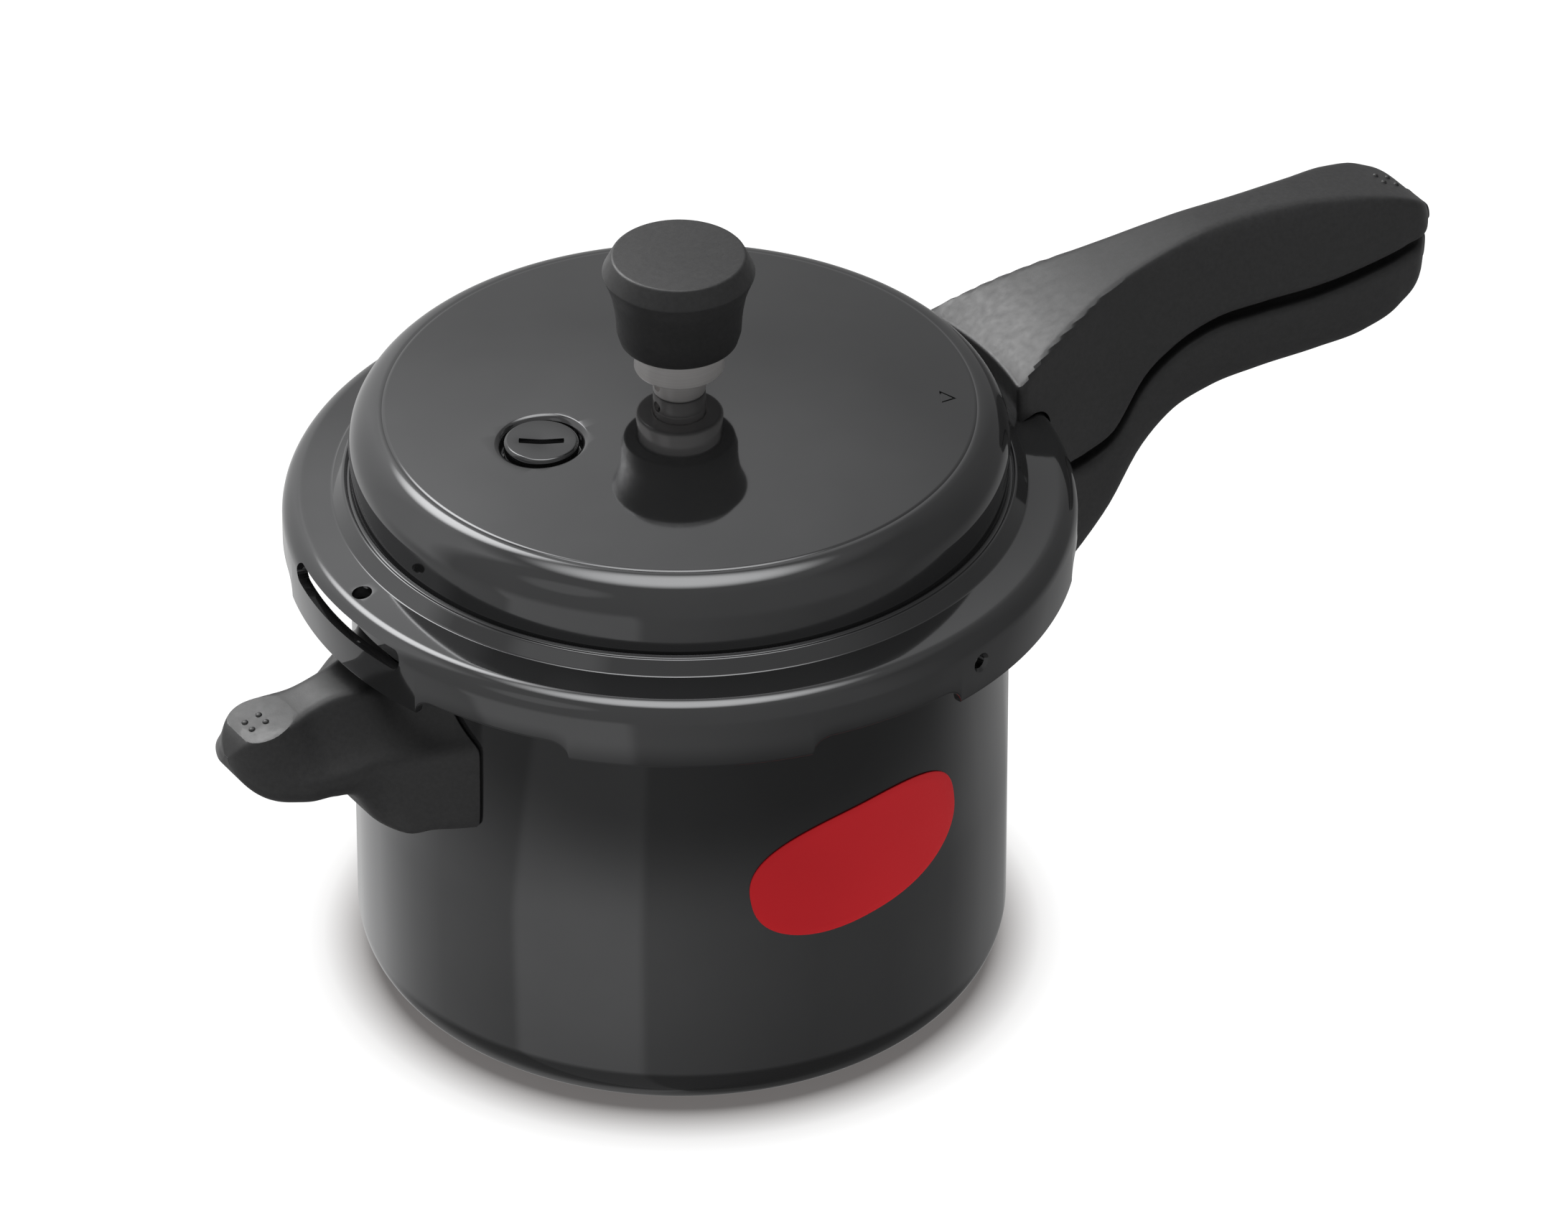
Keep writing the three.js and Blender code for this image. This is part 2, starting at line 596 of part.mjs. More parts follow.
/** Vent pipe: shoulder on the lid, slim tube above, threaded shank below, bore right through. */
function ventPipe() {
  const seat = CROWN_Z + FIT_GAP;
  const shape = turned(
    [
      [0, VENT_BOTTOM_Z],
      [VENT_SHANK_RADIUS, VENT_BOTTOM_Z],
      [VENT_SHANK_RADIUS, seat],
      [VENT_SHOULDER_RADIUS, seat],
      [VENT_SHOULDER_RADIUS, VENT_SHOULDER_TOP],
      [VENT_TUBE_RADIUS, VENT_SHOULDER_TOP + 2],
      [VENT_TUBE_RADIUS, VENT_TOP - 1.4],
      [3.4, VENT_TOP],
      [0, VENT_TOP],
    ],
    SMALL_STEPS,
  );
  const bore = post(VENT_BORE_RADIUS, VENT_BOTTOM_Z - 5, VENT_TOP + 5);
  const flat = block([-8, -8, seat + 1.6], [-5.2, 8, seat + 4.6]);
  const crossHole = dowel(1.1, -8, 0, 0, seat + 3.1, 12);
  return cut(shape, bore, flat, crossHole);
}

/** Hexagonal nut with its hole. */
function nut(acrossCorners, holeRadius, lowZ, highZ) {
  return cut(post(acrossCorners / 2, lowZ, highZ, 6), post(holeRadius, lowZ - 1, highZ + 1));
}

/** Flat washer. */
function washer(innerR, outerR, lowZ, highZ) {
  return turned([[innerR, lowZ], [outerR, lowZ], [outerR, highZ], [innerR, highZ]], SMALL_STEPS);
}

/** Safety plug: slotted round head, threaded shank, stepped hole for its fusible core. */
function safetyPlug() {
  const seat = PLUG_SEAT_Z + FIT_GAP;
  const shape = turned(
    [
      [0, PLUG_BOTTOM_Z],
      [PLUG_SHANK_RADIUS, PLUG_BOTTOM_Z],
      [PLUG_SHANK_RADIUS, seat],
      [PLUG_RADIUS, seat],
      [PLUG_RADIUS, PLUG_TOP_Z - 0.8],
      [PLUG_RADIUS - 0.8, PLUG_TOP_Z],
      [0, PLUG_TOP_Z],
    ],
    24,
  );
  const slotReach = PLUG_RADIUS + 1;
  const slot = block(
    [-slotReach, -PLUG_SLOT_HALF, PLUG_TOP_Z - PLUG_SLOT_DEPTH],
    [slotReach, PLUG_SLOT_HALF, PLUG_TOP_Z + 1],
  );
  const driverSlot = turnedBy(slot, PLUG_SLOT_DEG);
  const coreRoom = post(CORE_RADIUS + FIT_GAP, PLUG_BOTTOM_Z - 1, PLUG_BOTTOM_Z + CORE_LENGTH + 0.4);
  return moved(cut(shape, driverSlot, coreRoom), PLUG_AT, 0);
}

// ---------- regulator weight ----------

/** Pin that rests on the vent's orifice, with a collar held in the weight. */
function weightNeedle() {
  return turned(
    [
      [0, VENT_TOP - 2],
      [0.9, VENT_TOP + 0.1],
      [2.6, VENT_TOP + 1.3],
      [2.6, COLLAR_LOW_Z],
      [4.6, COLLAR_LOW_Z],
      [4.6, COLLAR_LOW_Z + 1.8],
      [0, COLLAR_LOW_Z + 1.8],
    ],
    SMALL_STEPS,
  );
}

/** Turned metal weight, hollow below for the vent pipe and stepped for the needle's collar. */
function weightBody() {
  const outside = [
    [WEIGHT_RADIUS - 1.4, WEIGHT_LOW_Z],
    [WEIGHT_RADIUS, WEIGHT_LOW_Z + 1.4],
    [WEIGHT_RADIUS, WEIGHT_HIGH_Z],
    [0, WEIGHT_HIGH_Z],
  ];
  const hollow = [
    [0, COLLAR_LOW_Z + 2.2],
    [5, COLLAR_LOW_Z + 2.2],
    [5, COLLAR_LOW_Z - 0.4],
    [3.1, COLLAR_LOW_Z - 0.4],
    [3.1, VENT_TOP + 1.4],
    [5.6, VENT_TOP + 0.8],
    [5.6, 192.6],
    [7.6, 192.6],
    [7.6, WEIGHT_LOW_Z],
  ];
  return turned([...outside, ...hollow], 24);
}

/** Spring ring in the mouth of the weight, open on one side. */
function weightClip() {
  const ring = washer(6.8, 7.3, CLIP_LOW_Z, CLIP_LOW_Z + 1);
  return cut(ring, block([0, -1.2, CLIP_LOW_Z - 1], [10, 1.2, CLIP_LOW_Z + 2]));
}

/** Moulded cap round the weight: bevelled flat top, waisted side, rounded lower edge. */
function weightCap() {
  const outside = [
    [15.4, CAP_LOW_Z],
    [16.9, CAP_LOW_Z + 1.6],
    [17.2, CAP_LOW_Z + 6],
    [18.1, CAP_LOW_Z + 13],
    [19.9, CAP_LOW_Z + 19.6],
    [20.4, CAP_TOP_Z - 5.2],
    [18.2, CAP_TOP_Z],
    [0, CAP_TOP_Z],
  ];
  const hollow = [
    [0, WEIGHT_HIGH_Z + FIT_GAP],
    [WEIGHT_RADIUS + FIT_GAP, WEIGHT_HIGH_Z + FIT_GAP],
    [WEIGHT_RADIUS + FIT_GAP, CAP_LOW_Z],
  ];
  return turned([...outside, ...hollow], 32);
}

// ---------- label ----------

/** Thin oval label that follows the pot wall. */
function labelBadge() {
  const skinR = POT_RADIUS + FIT_GAP;
  const skin = turned([[skinR, 40], [skinR + 0.4, 40], [skinR + 0.4, 120], [skinR, 120]]);
  const shape = new THREE.Shape();
  shape.absellipse(0, 0, LABEL_LONG, LABEL_SHORT, 0, 2 * Math.PI, false, rad(LABEL_TILT_DEG));
  const geometry = new THREE.ExtrudeGeometry(shape, { depth: 40, bevelEnabled: false, curveSegments: 20 });
  geometry.rotateX(Math.PI / 2);
  geometry.translate(0, -70, LABEL_Z);
  const cookie = turnedBy(solid(geometry), LABEL_DEG + 90);
  return skin.intersect(cookie);
}

// ---------- assembly ----------
const cooker = new THREE.Group();
const potGroup = new THREE.Group();
const lidGroup = new THREE.Group();
const weightGroup = new THREE.Group();
cooker.add(potGroup, lidGroup, weightGroup);

function place(group, name, body, material) {
  const mesh = new THREE.Mesh(geometryOf(body), material);
  mesh.name = name;
  group.add(mesh);
}

place(potGroup, "pot_body", potBody(), anodised());
place(potGroup, "body_handle_bracket", wallBracket(BODY_TONGUE_REACH, BODY_SCREW_X), steel());
place(potGroup, "body_handle", bodyHandle(), bakelite());
place(potGroup, "body_handle_screw", screw(BODY_SCREW_X, BODY_SCREW_HEAD_Z, WALL_SCREW_TIP_Z), steel());
const helperBracket = turnedBy(wallBracket(HELPER_TONGUE_REACH, HELPER_SCREW_X), 180);
place(potGroup, "helper_bracket", helperBracket, steel());
place(potGroup, "helper_handle", helperHandle(), bakelite());
const helperScrew = screw(-HELPER_SCREW_X, HELPER_SCREW_HEAD_Z, WALL_SCREW_TIP_Z);
place(potGroup, "helper_handle_screw", helperScrew, steel());
for (const [level, height] of [["lower", RIVET_HEIGHTS[0]], ["upper", RIVET_HEIGHTS[1]]]) {
  place(potGroup, `body_bracket_rivet_${level}`, wallRivet(height), steel());
  place(potGroup, `helper_bracket_rivet_${level}`, turnedBy(wallRivet(height), 180), steel());
}
place(potGroup, "label_badge", labelBadge(), labelRed());

place(lidGroup, "lid_shell", lidShell(), anodised());
place(lidGroup, "lid_gasket", lidGasket(), rubber());
place(lidGroup, "lid_bracket", lidBracket(), steel());
place(lidGroup, "lid_bracket_rivet_left", lidRivet(1), steel());
place(lidGroup, "lid_bracket_rivet_right", lidRivet(-1), steel());
place(lidGroup, "lid_handle", lidHandle(), bakelite());
place(lidGroup, "lid_handle_screw", screw(LID_SCREW_X, LID_SCREW_HEAD_Z, LID_SCREW_TIP_Z), steel());
place(lidGroup, "vent_pipe", ventPipe(), steel());
const underCrown = CROWN_Z - LID_SHEET - FIT_GAP;
place(lidGroup, "vent_pipe_washer", washer(4.3, 8.6, underCrown - 1.2, underCrown), steel());
place(lidGroup, "vent_pipe_nut", nut(15, 4.2, underCrown - 6.2, underCrown - 1.5), steel());
place(lidGroup, "safety_plug", safetyPlug(), steel());
const underSeat = PLUG_SEAT_Z - LID_SHEET - FIT_GAP;
const plugWasher = moved(washer(6.2, 10.5, underSeat - 1.2, underSeat), PLUG_AT, 0);
place(lidGroup, "safety_plug_washer", plugWasher, rubber());
const plugNut = moved(nut(19, 6.1, underSeat - 4.6, underSeat - 1.5), PLUG_AT, 0);
place(lidGroup, "safety_plug_nut", plugNut, steel());
const fusible = moved(post(CORE_RADIUS, PLUG_BOTTOM_Z, PLUG_BOTTOM_Z + CORE_LENGTH), PLUG_AT, 0);
place(lidGroup, "fusible_insert", fusible, brass());

place(weightGroup, "weight_needle", weightNeedle(), steel());
place(weightGroup, "weight_body", weightBody(), steel());
place(weightGroup, "weight_clip", weightClip(), steel());
place(weightGroup, "weight_cap", weightCap(), bakelite());

export default cooker;
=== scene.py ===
"""Stovetop pressure cooker: detailed pieces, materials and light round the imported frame.

The scene is in metres. Outlines and tables below are in millimetres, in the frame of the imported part:
the origin is the centre of the flat base, +Z is up and +X runs along the long handle."""

import json
import math

import bmesh
import bpy
import numpy as np
from mathutils import Matrix, Vector


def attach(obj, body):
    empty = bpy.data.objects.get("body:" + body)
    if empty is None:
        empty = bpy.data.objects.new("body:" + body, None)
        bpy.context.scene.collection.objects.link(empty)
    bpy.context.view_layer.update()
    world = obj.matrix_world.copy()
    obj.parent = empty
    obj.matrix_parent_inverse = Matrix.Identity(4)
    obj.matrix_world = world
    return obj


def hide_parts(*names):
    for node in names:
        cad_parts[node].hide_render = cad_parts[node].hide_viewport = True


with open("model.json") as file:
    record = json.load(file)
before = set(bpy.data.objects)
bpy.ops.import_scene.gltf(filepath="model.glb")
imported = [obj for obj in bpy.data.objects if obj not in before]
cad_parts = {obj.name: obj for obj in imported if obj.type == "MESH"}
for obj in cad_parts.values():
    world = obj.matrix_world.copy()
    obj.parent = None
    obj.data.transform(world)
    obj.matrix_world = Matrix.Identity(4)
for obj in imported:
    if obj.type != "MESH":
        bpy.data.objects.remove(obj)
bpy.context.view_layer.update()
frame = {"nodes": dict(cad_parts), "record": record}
scene = bpy.context.scene

MM = 0.001
FULL = 2 * math.pi

# ---------- sizes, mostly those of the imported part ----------
POT_RADIUS = 90
POT_WALL = 3.25
POT_FLOOR = 4.5
POT_CORNER = 14.7
RIM_RADIUS = 97
RIM_BOTTOM_Z = 129
RIM_TOP_Z = 141
LUG_COUNT = 3
LUG_RADIUS = 103.5
LUG_HALF_DEG = 13
LUG_BOTTOM_Z = 132
LUG_TOP_Z = 135.6

LID_SHEET = 3
CROWN_Z = 178.3
LINE_RADIUS = 80.66
LINE_Z = 172.76
SHOULDER_CENTRE = (79.11, 162.03)
SHOULDER_ARC = 10.79
NECK_RADIUS = SHOULDER_CENTRE[0] + SHOULDER_ARC
# The dome's wall ends in a small flat ring and a step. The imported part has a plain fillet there.
INNER_RING_Z = 151.6
INNER_RING_RADIUS = 91.6
OUTER_RING_Z = 147.2
OUTER_RING_START = 93.9
SKIRT_RADIUS = 108.3
FLANGE_ROUNDING = 6.06
FLANGE_CENTRE = (SKIRT_RADIUS - FLANGE_ROUNDING, OUTER_RING_Z - FLANGE_ROUNDING)
SKIRT_DEEP_Z = 128.2
SKIRT_SHALLOW_Z = 133
SECTION_COUNT = 6
DEEP_HALF_DEG = 17.5
CURL_DEG = 3.1  # arc that each end of a deep section takes to curve up to the shallow edge
TONGUE_RADIUS = 98.6
TONGUE_TOP_Z = 131.4
WINDOW_DEG = 180
WINDOW_HALF_DEG = 14.5
WINDOW_LOW_Z = 138.9
WINDOW_HIGH_Z = 144.6
SKIRT_HOLE_DEG = -73.4
SKIRT_HOLE_Z = 137.4
SKIRT_HOLE_RADIUS = 2
FLANGE_HOLE_AT = -100.2
FLANGE_HOLE_RADIUS = 2.75

PLUG_AT = -43.6
PLUG_SEAT_Z = 172.6
PLUG_HOLE_RADIUS = 6.3
SEAT_RADIUS = 10.9  # round well that the plug stands in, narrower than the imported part's
SEAT_ROLL = 2.7  # rounding of the well's edge
SEAT_FLOOR_RADIUS = 13  # disc that closes the crown under the well
SEAT_FLOOR_TOP_Z = 174.5
PLUG_RADIUS = 9.45
PLUG_TOP_Z = 176.2
PLUG_BOTTOM_Z = 163.6
PLUG_SLOT_DEG = -32
VENT_HOLE_RADIUS = 4.4
ROOT_RADIUS = 97

SCREW_BORE_RADIUS = 5
SCREW_BORE_GAP = 0.3  # between the screw's head and the end of its bore
# Screws of the grips: distance from the pot's axis, height of the head and height of the tip.
BODY_SCREW = (107, 87.5, 105.5)
HELPER_SCREW = (101, 90, 105.5)
LID_SCREW = (113.5, 129, 156)

# ---------- mesh helpers ----------


def mesh_object(name, points, faces):
    """Closed mesh object from millimetre points, with its faces turned outwards."""
    mesh = bpy.data.meshes.new(name)
    mesh.from_pydata([tuple(MM * float(c) for c in p) for p in points], [], faces)
    mesh.validate()
    shell = bmesh.new()
    shell.from_mesh(mesh)
    if shell.calc_volume(signed=True) < 0:
        mesh.flip_normals()
    shell.free()
    made = bpy.data.objects.new(name, mesh)
    scene.collection.objects.link(made)
    return made


def shade(piece, sharp_deg=32):
    """Smooth shading with sharp edges above an angle."""
    for polygon in piece.data.polygons:
        polygon.use_smooth = True
    piece.data.set_sharp_from_angle(angle=math.radians(sharp_deg))


def arc(centre_r, centre_z, radius, from_deg, to_deg, steps):
    """Points of an arc in the (radius, height) plane, ends included."""
    angles = np.radians(np.linspace(from_deg, to_deg, steps + 1))
    return [(centre_r + radius * math.cos(a), centre_z + radius * math.sin(a)) for a in angles]


def filleted(corners, steps=4):
    """Outline whose corners (r, z, fillet) are rounded; a corner without a fillet stays sharp."""
    outline = []
    for i, corner in enumerate(corners):
        here = Vector(corner[:2])
        fillet = corner[2] if len(corner) > 2 else 0
        if not fillet:
            outline.append(tuple(here))
            continue
        before = Vector(corners[i - 1][:2]) - here
        after = Vector(corners[(i + 1) % len(corners)][:2]) - here
        half = before.angle(after) / 2
        back = fillet / math.tan(half)
        start = here + before.normalized() * back
        end = here + after.normalized() * back
        centre = here + (before.normalized() + after.normalized()).normalized() * fillet / math.sin(half)
        for k in range(steps + 1):
            along = (start - centre).slerp(end - centre, k / steps)
            outline.append(tuple(centre + along))
    return outline


def swept(outline_at, angles):
    """Points and faces of a closed ring solid whose (radius, height) outline depends on the angle."""
    outlines = [outline_at(a) for a in angles]
    count = len(angles)
    points = []
    rings = []
    for k in range(len(outlines[0])):
        if all(o[k][0] < 1e-6 for o in outlines):
            rings.append([len(points)] * count)
            points.append((0, 0, outlines[0][k][1]))
            continue
        rings.append(list(range(len(points), len(points) + count)))
        points += [(o[k][0] * math.cos(a), o[k][0] * math.sin(a), o[k][1]) for o, a in zip(outlines, angles)]
    faces = []
    for low, high in zip(rings, rings[1:] + rings[:1]):
        for i in range(count):
            j = (i + 1) % count
            corners = list(dict.fromkeys([low[i], low[j], high[j], high[i]]))
            if len(corners) > 2:
                faces.append(corners)
    return points, faces


def turned(outline, steps=128):
    """Turned solid: the outline runs counter-clockwise in (radius, height)."""
    angles = np.linspace(0, FULL, steps, endpoint=False)
    return swept(lambda angle: outline, angles)


def turned_object(name, outline, steps=128):
    return mesh_object(name, *turned(outline, steps))


def post(name, radius, low, high, at_x=0, steps=40):
    """Upright cylinder between two heights, to cut or to join."""
    outline = [(0, low), (radius, low), (radius, high), (0, high)]
    return placed(turned_object(name, outline, steps), Matrix.Translation((at_x, 0, 0)))


def block(name, half_x, half_y, low, high):
    """Rectangular cutter centred on the Z axis."""
    corners = [(-half_x, -half_y), (half_x, -half_y), (half_x, half_y), (-half_x, half_y)]
    points = [(x, y, z) for z in (low, high) for x, y in corners]
    faces = [[3, 2, 1, 0], [4, 5, 6, 7], [0, 1, 5, 4], [1, 2, 6, 5], [2, 3, 7, 6], [3, 0, 4, 7]]
    return mesh_object(name, points, faces)


def grid_faces(rows, count):
    """Faces between neighbouring closed rows of points."""
    faces = []
    for i in range(rows - 1):
        for k in range(count):
            n = (k + 1) % count
            faces.append([i * count + k, (i + 1) * count + k, (i + 1) * count + n, i * count + n])
    return faces


def loft(loops):
    """Points and faces of a skin over closed loops, closed by a flat polygon at each end."""
    count = len(loops[0])
    points = [p for loop in loops for p in loop]
    faces = [list(range(count))[::-1], [len(points) - count + k for k in range(count)]]
    for i in range(len(loops) - 1):
        for k in range(count):
            n = (k + 1) % count
            faces.append([i * count + k, i * count + n, (i + 1) * count + n, (i + 1) * count + k])
    return points, faces


def placed(piece, matrix):
    """Moves a mesh for good; the matrix is in millimetres."""
    scaled = matrix.copy()
    scaled.translation = matrix.translation * MM
    piece.data.transform(scaled)
    return piece


def carved(piece, *cutters, join=False):
    """Cuts each cutter from the piece, or joins it, and deletes the cutter."""
    for cutter in cutters:
        step = piece.modifiers.new("carve", "BOOLEAN")
        step.operation = "UNION" if join else "DIFFERENCE"
        step.solver = "MANIFOLD"
        step.object = cutter
        graph = bpy.context.evaluated_depsgraph_get()
        result = bpy.data.meshes.new_from_object(piece.evaluated_get(graph))
        piece.modifiers.clear()
        piece.data = result
        bpy.data.objects.remove(cutter)
    return piece


def mesh_plane(name, corners):
    """Single flat face from millimetre corners."""
    mesh = bpy.data.meshes.new(name)
    mesh.from_pydata([tuple(MM * c for c in p) for p in corners], [], [list(range(len(corners)))])
    made = bpy.data.objects.new(name, mesh)
    scene.collection.objects.link(made)
    return made


def turn_z(degrees):
    return Matrix.Rotation(math.radians(degrees), 4, "Z")


# ---------- materials ----------


class Look:
    """A node material under construction, with its principled shader."""

    def __init__(self, name, roughness, metallic):
        self.material = bpy.data.materials.new(name)
        self.material.use_nodes = True
        self.nodes = self.material.node_tree.nodes
        self.links = self.material.node_tree.links
        self.shader = self.nodes["Principled BSDF"]
        self.shader.inputs["Roughness"].default_value = roughness
        self.shader.inputs["Metallic"].default_value = metallic
        self.place = self.nodes.new("ShaderNodeTexCoord").outputs["Object"]

    def noise(self, scale, detail=3, stretch=(1, 1, 1)):
        """Noise in object space, with features about 1/scale metres wide."""
        mapping = self.nodes.new("ShaderNodeMapping")
        mapping.inputs["Scale"].default_value = stretch
        self.links.new(self.place, mapping.inputs["Vector"])
        texture = self.nodes.new("ShaderNodeTexNoise")
        texture.inputs["Scale"].default_value = scale
        texture.inputs["Detail"].default_value = detail
        self.links.new(mapping.outputs["Vector"], texture.inputs["Vector"])
        return texture.outputs["Fac"]

    def remap(self, value, low, high, from_low=0.3, from_high=0.7):
        """Spreads a noise value over a range."""
        node = self.nodes.new("ShaderNodeMapRange")
        node.inputs["From Min"].default_value = from_low
        node.inputs["From Max"].default_value = from_high
        node.inputs["To Min"].default_value = low
        node.inputs["To Max"].default_value = high
        self.links.new(value, node.inputs["Value"])
        return node.outputs["Result"]

    def tint(self, value, first, second):
        """Base colour between two colours."""
        mix = self.nodes.new("ShaderNodeMix")
        mix.data_type = "RGBA"
        mix.inputs["A"].default_value = (*first, 1)
        mix.inputs["B"].default_value = (*second, 1)
        self.links.new(value, mix.inputs["Factor"])
        self.links.new(mix.outputs["Result"], self.shader.inputs["Base Color"])

    def rough(self, value, low, high):
        self.links.new(self.remap(value, low, high), self.shader.inputs["Roughness"])

    def bump(self, value, distance_mm, strength=1):
        node = self.nodes.new("ShaderNodeBump")
        node.inputs["Distance"].default_value = distance_mm * MM
        node.inputs["Strength"].default_value = strength
        self.links.new(value, node.inputs["Height"])
        self.links.new(node.outputs["Normal"], self.shader.inputs["Normal"])


def anodised_look(name="charcoal_anodised", dark=(0.18, 0.181, 0.184), light=(0.197, 0.198, 0.201)):
    """Semi-gloss hard anodising: a dark mirror with faint clouding and a very fine tooth."""
    look = Look(name, 0.06, 0.94)
    clouds = look.noise(26, 4)
    look.tint(look.remap(clouds, 0, 1), dark, light)
    look.rough(look.noise(60, 5), 0.045, 0.075)
    look.bump(look.noise(2600, 2), 0.002, 0.12)
    return look.material


def bakelite_look(name="black_bakelite", dark=(0.019, 0.019, 0.0195), light=(0.026, 0.026, 0.0265)):
    """Matte phenolic moulding with a fine sandblasted grain."""
    look = Look(name, 0.42, 0)
    look.shader.inputs["Specular IOR Level"].default_value = 0.75
    look.tint(look.remap(look.noise(900, 3), 0, 1), dark, light)
    look.rough(look.noise(420, 4), 0.37, 0.47)
    look.bump(look.noise(2200, 3), 0.035, 0.55)
    return look.material


def steel_look(name, dark, light, roughness=0.22, scale=900):
    """Turned metal: fine rings of lighter and darker tone across the axis."""
    look = Look(name, roughness, 0.5)
    rings = look.noise(scale, 4, (0.04, 0.04, 3))
    look.tint(look.remap(rings, 0, 1), dark, light)
    look.rough(rings, roughness - 0.05, roughness + 0.06)
    look.bump(rings, 0.003, 0.15)
    return look.material


def sheet_metal_look():
    look = Look("pressed_sheet", 0.35, 1)
    grain = look.noise(700, 4, (0.1, 1, 1))
    look.tint(look.remap(grain, 0, 1), (0.45, 0.45, 0.46), (0.6, 0.6, 0.61))
    look.rough(grain, 0.28, 0.42)
    return look.material


def rubber_look():
    look = Look("gasket_rubber", 0.8, 0)
    dust = look.noise(500, 4)
    look.tint(look.remap(dust, 0, 1), (0.014, 0.014, 0.014), (0.03, 0.03, 0.03))
    look.rough(dust, 0.7, 0.9)
    look.bump(dust, 0.02, 0.3)
    return look.material


def alloy_look():
    look = Look("fusible_alloy", 0.5, 1)
    grain = look.noise(1500, 4)
    look.tint(look.remap(grain, 0, 1), (0.46, 0.42, 0.34), (0.6, 0.55, 0.45))
    look.rough(grain, 0.42, 0.6)
    return look.material


def label_look():
    """Printed red film with a faint tone drift and paper tooth."""
    look = Look("red_label_film", 0.38, 0)
    look.shader.inputs["Specular IOR Level"].default_value = 0.15
    look.tint(look.remap(look.noise(14, 2), 0, 1), (0.52, 0.006, 0.012), (0.62, 0.009, 0.016))
    look.rough(look.noise(800, 3), 0.34, 0.44)
    look.bump(look.noise(1800, 2), 0.006, 0.25)
    return look.material


LOOKS = {
    "anodised": anodised_look(),
    "dark_plug": anodised_look("plug_anodised", (0.166, 0.167, 0.17), (0.182, 0.183, 0.186)),
    "bakelite": bakelite_look(),
    "steel": steel_look("turned_steel", (0.9, 0.87, 0.86), (0.97, 0.95, 0.94), 0.2),
    "bracket_metal": sheet_metal_look(),
    "rivet_metal": steel_look("bright_rivet", (0.6, 0.6, 0.61), (0.72, 0.72, 0.73), 0.28),
    "fusible_alloy": alloy_look(),
    "rubber": rubber_look(),
    "label": label_look(),
}


def finish_piece(piece, body, slot, replaced, sharp_deg=32):
    """Gives a piece the material of its slot, smooth shading and a body, and hides the CAD nodes that it
    stands for.
    """
    piece.data.materials.clear()
    piece.data.materials.append(LOOKS[slot])
    shade(piece, sharp_deg)
    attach(piece, body)
    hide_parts(*replaced)
    if slot == "bakelite":
        moulded.objects.link(piece)


# ---------- pot ----------


def column_angles(spacing_deg, extra_deg):
    """Even angles round the part plus some exact ones, in radians."""
    even = np.arange(0, 360, spacing_deg)
    exact = np.mod(np.array(extra_deg, float), 360)
    near = np.abs((even[:, None] - exact[None, :] + 180) % 360 - 180).min(axis=1) < 0.3 * spacing_deg
    return np.radians(np.unique(np.round(np.concatenate([even[~near], exact]), 4)))


def off_centre(angle, pitch_deg):
    """How many degrees an angle is from the nearest multiple of the pitch."""
    return abs((math.degrees(angle) + pitch_deg / 2) % pitch_deg - pitch_deg / 2)


def edges_of(pitch_deg, *offsets):
    """Angles at given offsets either side of every multiple of the pitch."""
    return [k * pitch_deg + s * o for k in range(round(360 / pitch_deg)) for o in offsets for s in (-1, 1)]


def pot_outline(angle):
    inside = POT_RADIUS - POT_WALL
    inner_fillet = POT_CORNER - POT_WALL
    lug = LUG_RADIUS if off_centre(angle, 360 / LUG_COUNT) <= LUG_HALF_DEG else RIM_RADIUS
    soft = 0.6 if lug > RIM_RADIUS else 0
    return [
        (0, 0.35),
        (62, 0.35),
        (62.6, 0),
        *arc(POT_RADIUS - POT_CORNER, POT_CORNER, POT_CORNER, -90, 0, 14),
        (POT_RADIUS, 60),
        (POT_RADIUS, RIM_BOTTOM_Z - 4),
        (POT_RADIUS + 0.6, RIM_BOTTOM_Z - 2.4),
        (RIM_RADIUS - 0.8, RIM_BOTTOM_Z + 0.6),
        (RIM_RADIUS, RIM_BOTTOM_Z + 1.6),
        (RIM_RADIUS, LUG_BOTTOM_Z),
        (lug - soft, LUG_BOTTOM_Z + 0.01),
        (lug, LUG_BOTTOM_Z + 0.02 + soft),
        (lug, LUG_TOP_Z - 0.02 - soft),
        (lug - soft, LUG_TOP_Z - 0.01),
        (RIM_RADIUS, LUG_TOP_Z),
        *arc(RIM_RADIUS - 1.2, RIM_TOP_Z - 1.2, 1.2, 0, 90, 4),
        *arc(inside + 0.8, RIM_TOP_Z - 0.8, 0.8, 90, 180, 3),
        (inside, 60),
        *arc(inside - inner_fillet, POT_FLOOR + inner_fillet, inner_fillet, 0, -90, 10),
        (0, POT_FLOOR),
    ]


def build_pot():
    angles = column_angles(1.5, edges_of(360 / LUG_COUNT, LUG_HALF_DEG, LUG_HALF_DEG + 0.2))
    return mesh_object("pot_wall", *swept(pot_outline, angles))


# ---------- lid ----------


def skirt_edge(angle):
    """Height of the skirt's lower edge: deep sections that end in a quarter curl."""
    off = off_centre(angle, 360 / SECTION_COUNT)
    share = min(max((DEEP_HALF_DEG + CURL_DEG - off) / CURL_DEG, 0), 1)
    return SKIRT_SHALLOW_Z - (SKIRT_SHALLOW_Z - SKIRT_DEEP_Z) * (1 - math.sqrt(1 - share**2))


def dome_z(radius):
    """Height of the crown's outer face."""
    return CROWN_Z - (CROWN_Z - LINE_Z) * (radius / LINE_RADIUS) ** 2


def dome_slope(radius):
    """Downward slope of the crown's outer face, in radians."""
    return math.atan(2 * (CROWN_Z - LINE_Z) * radius / LINE_RADIUS**2)


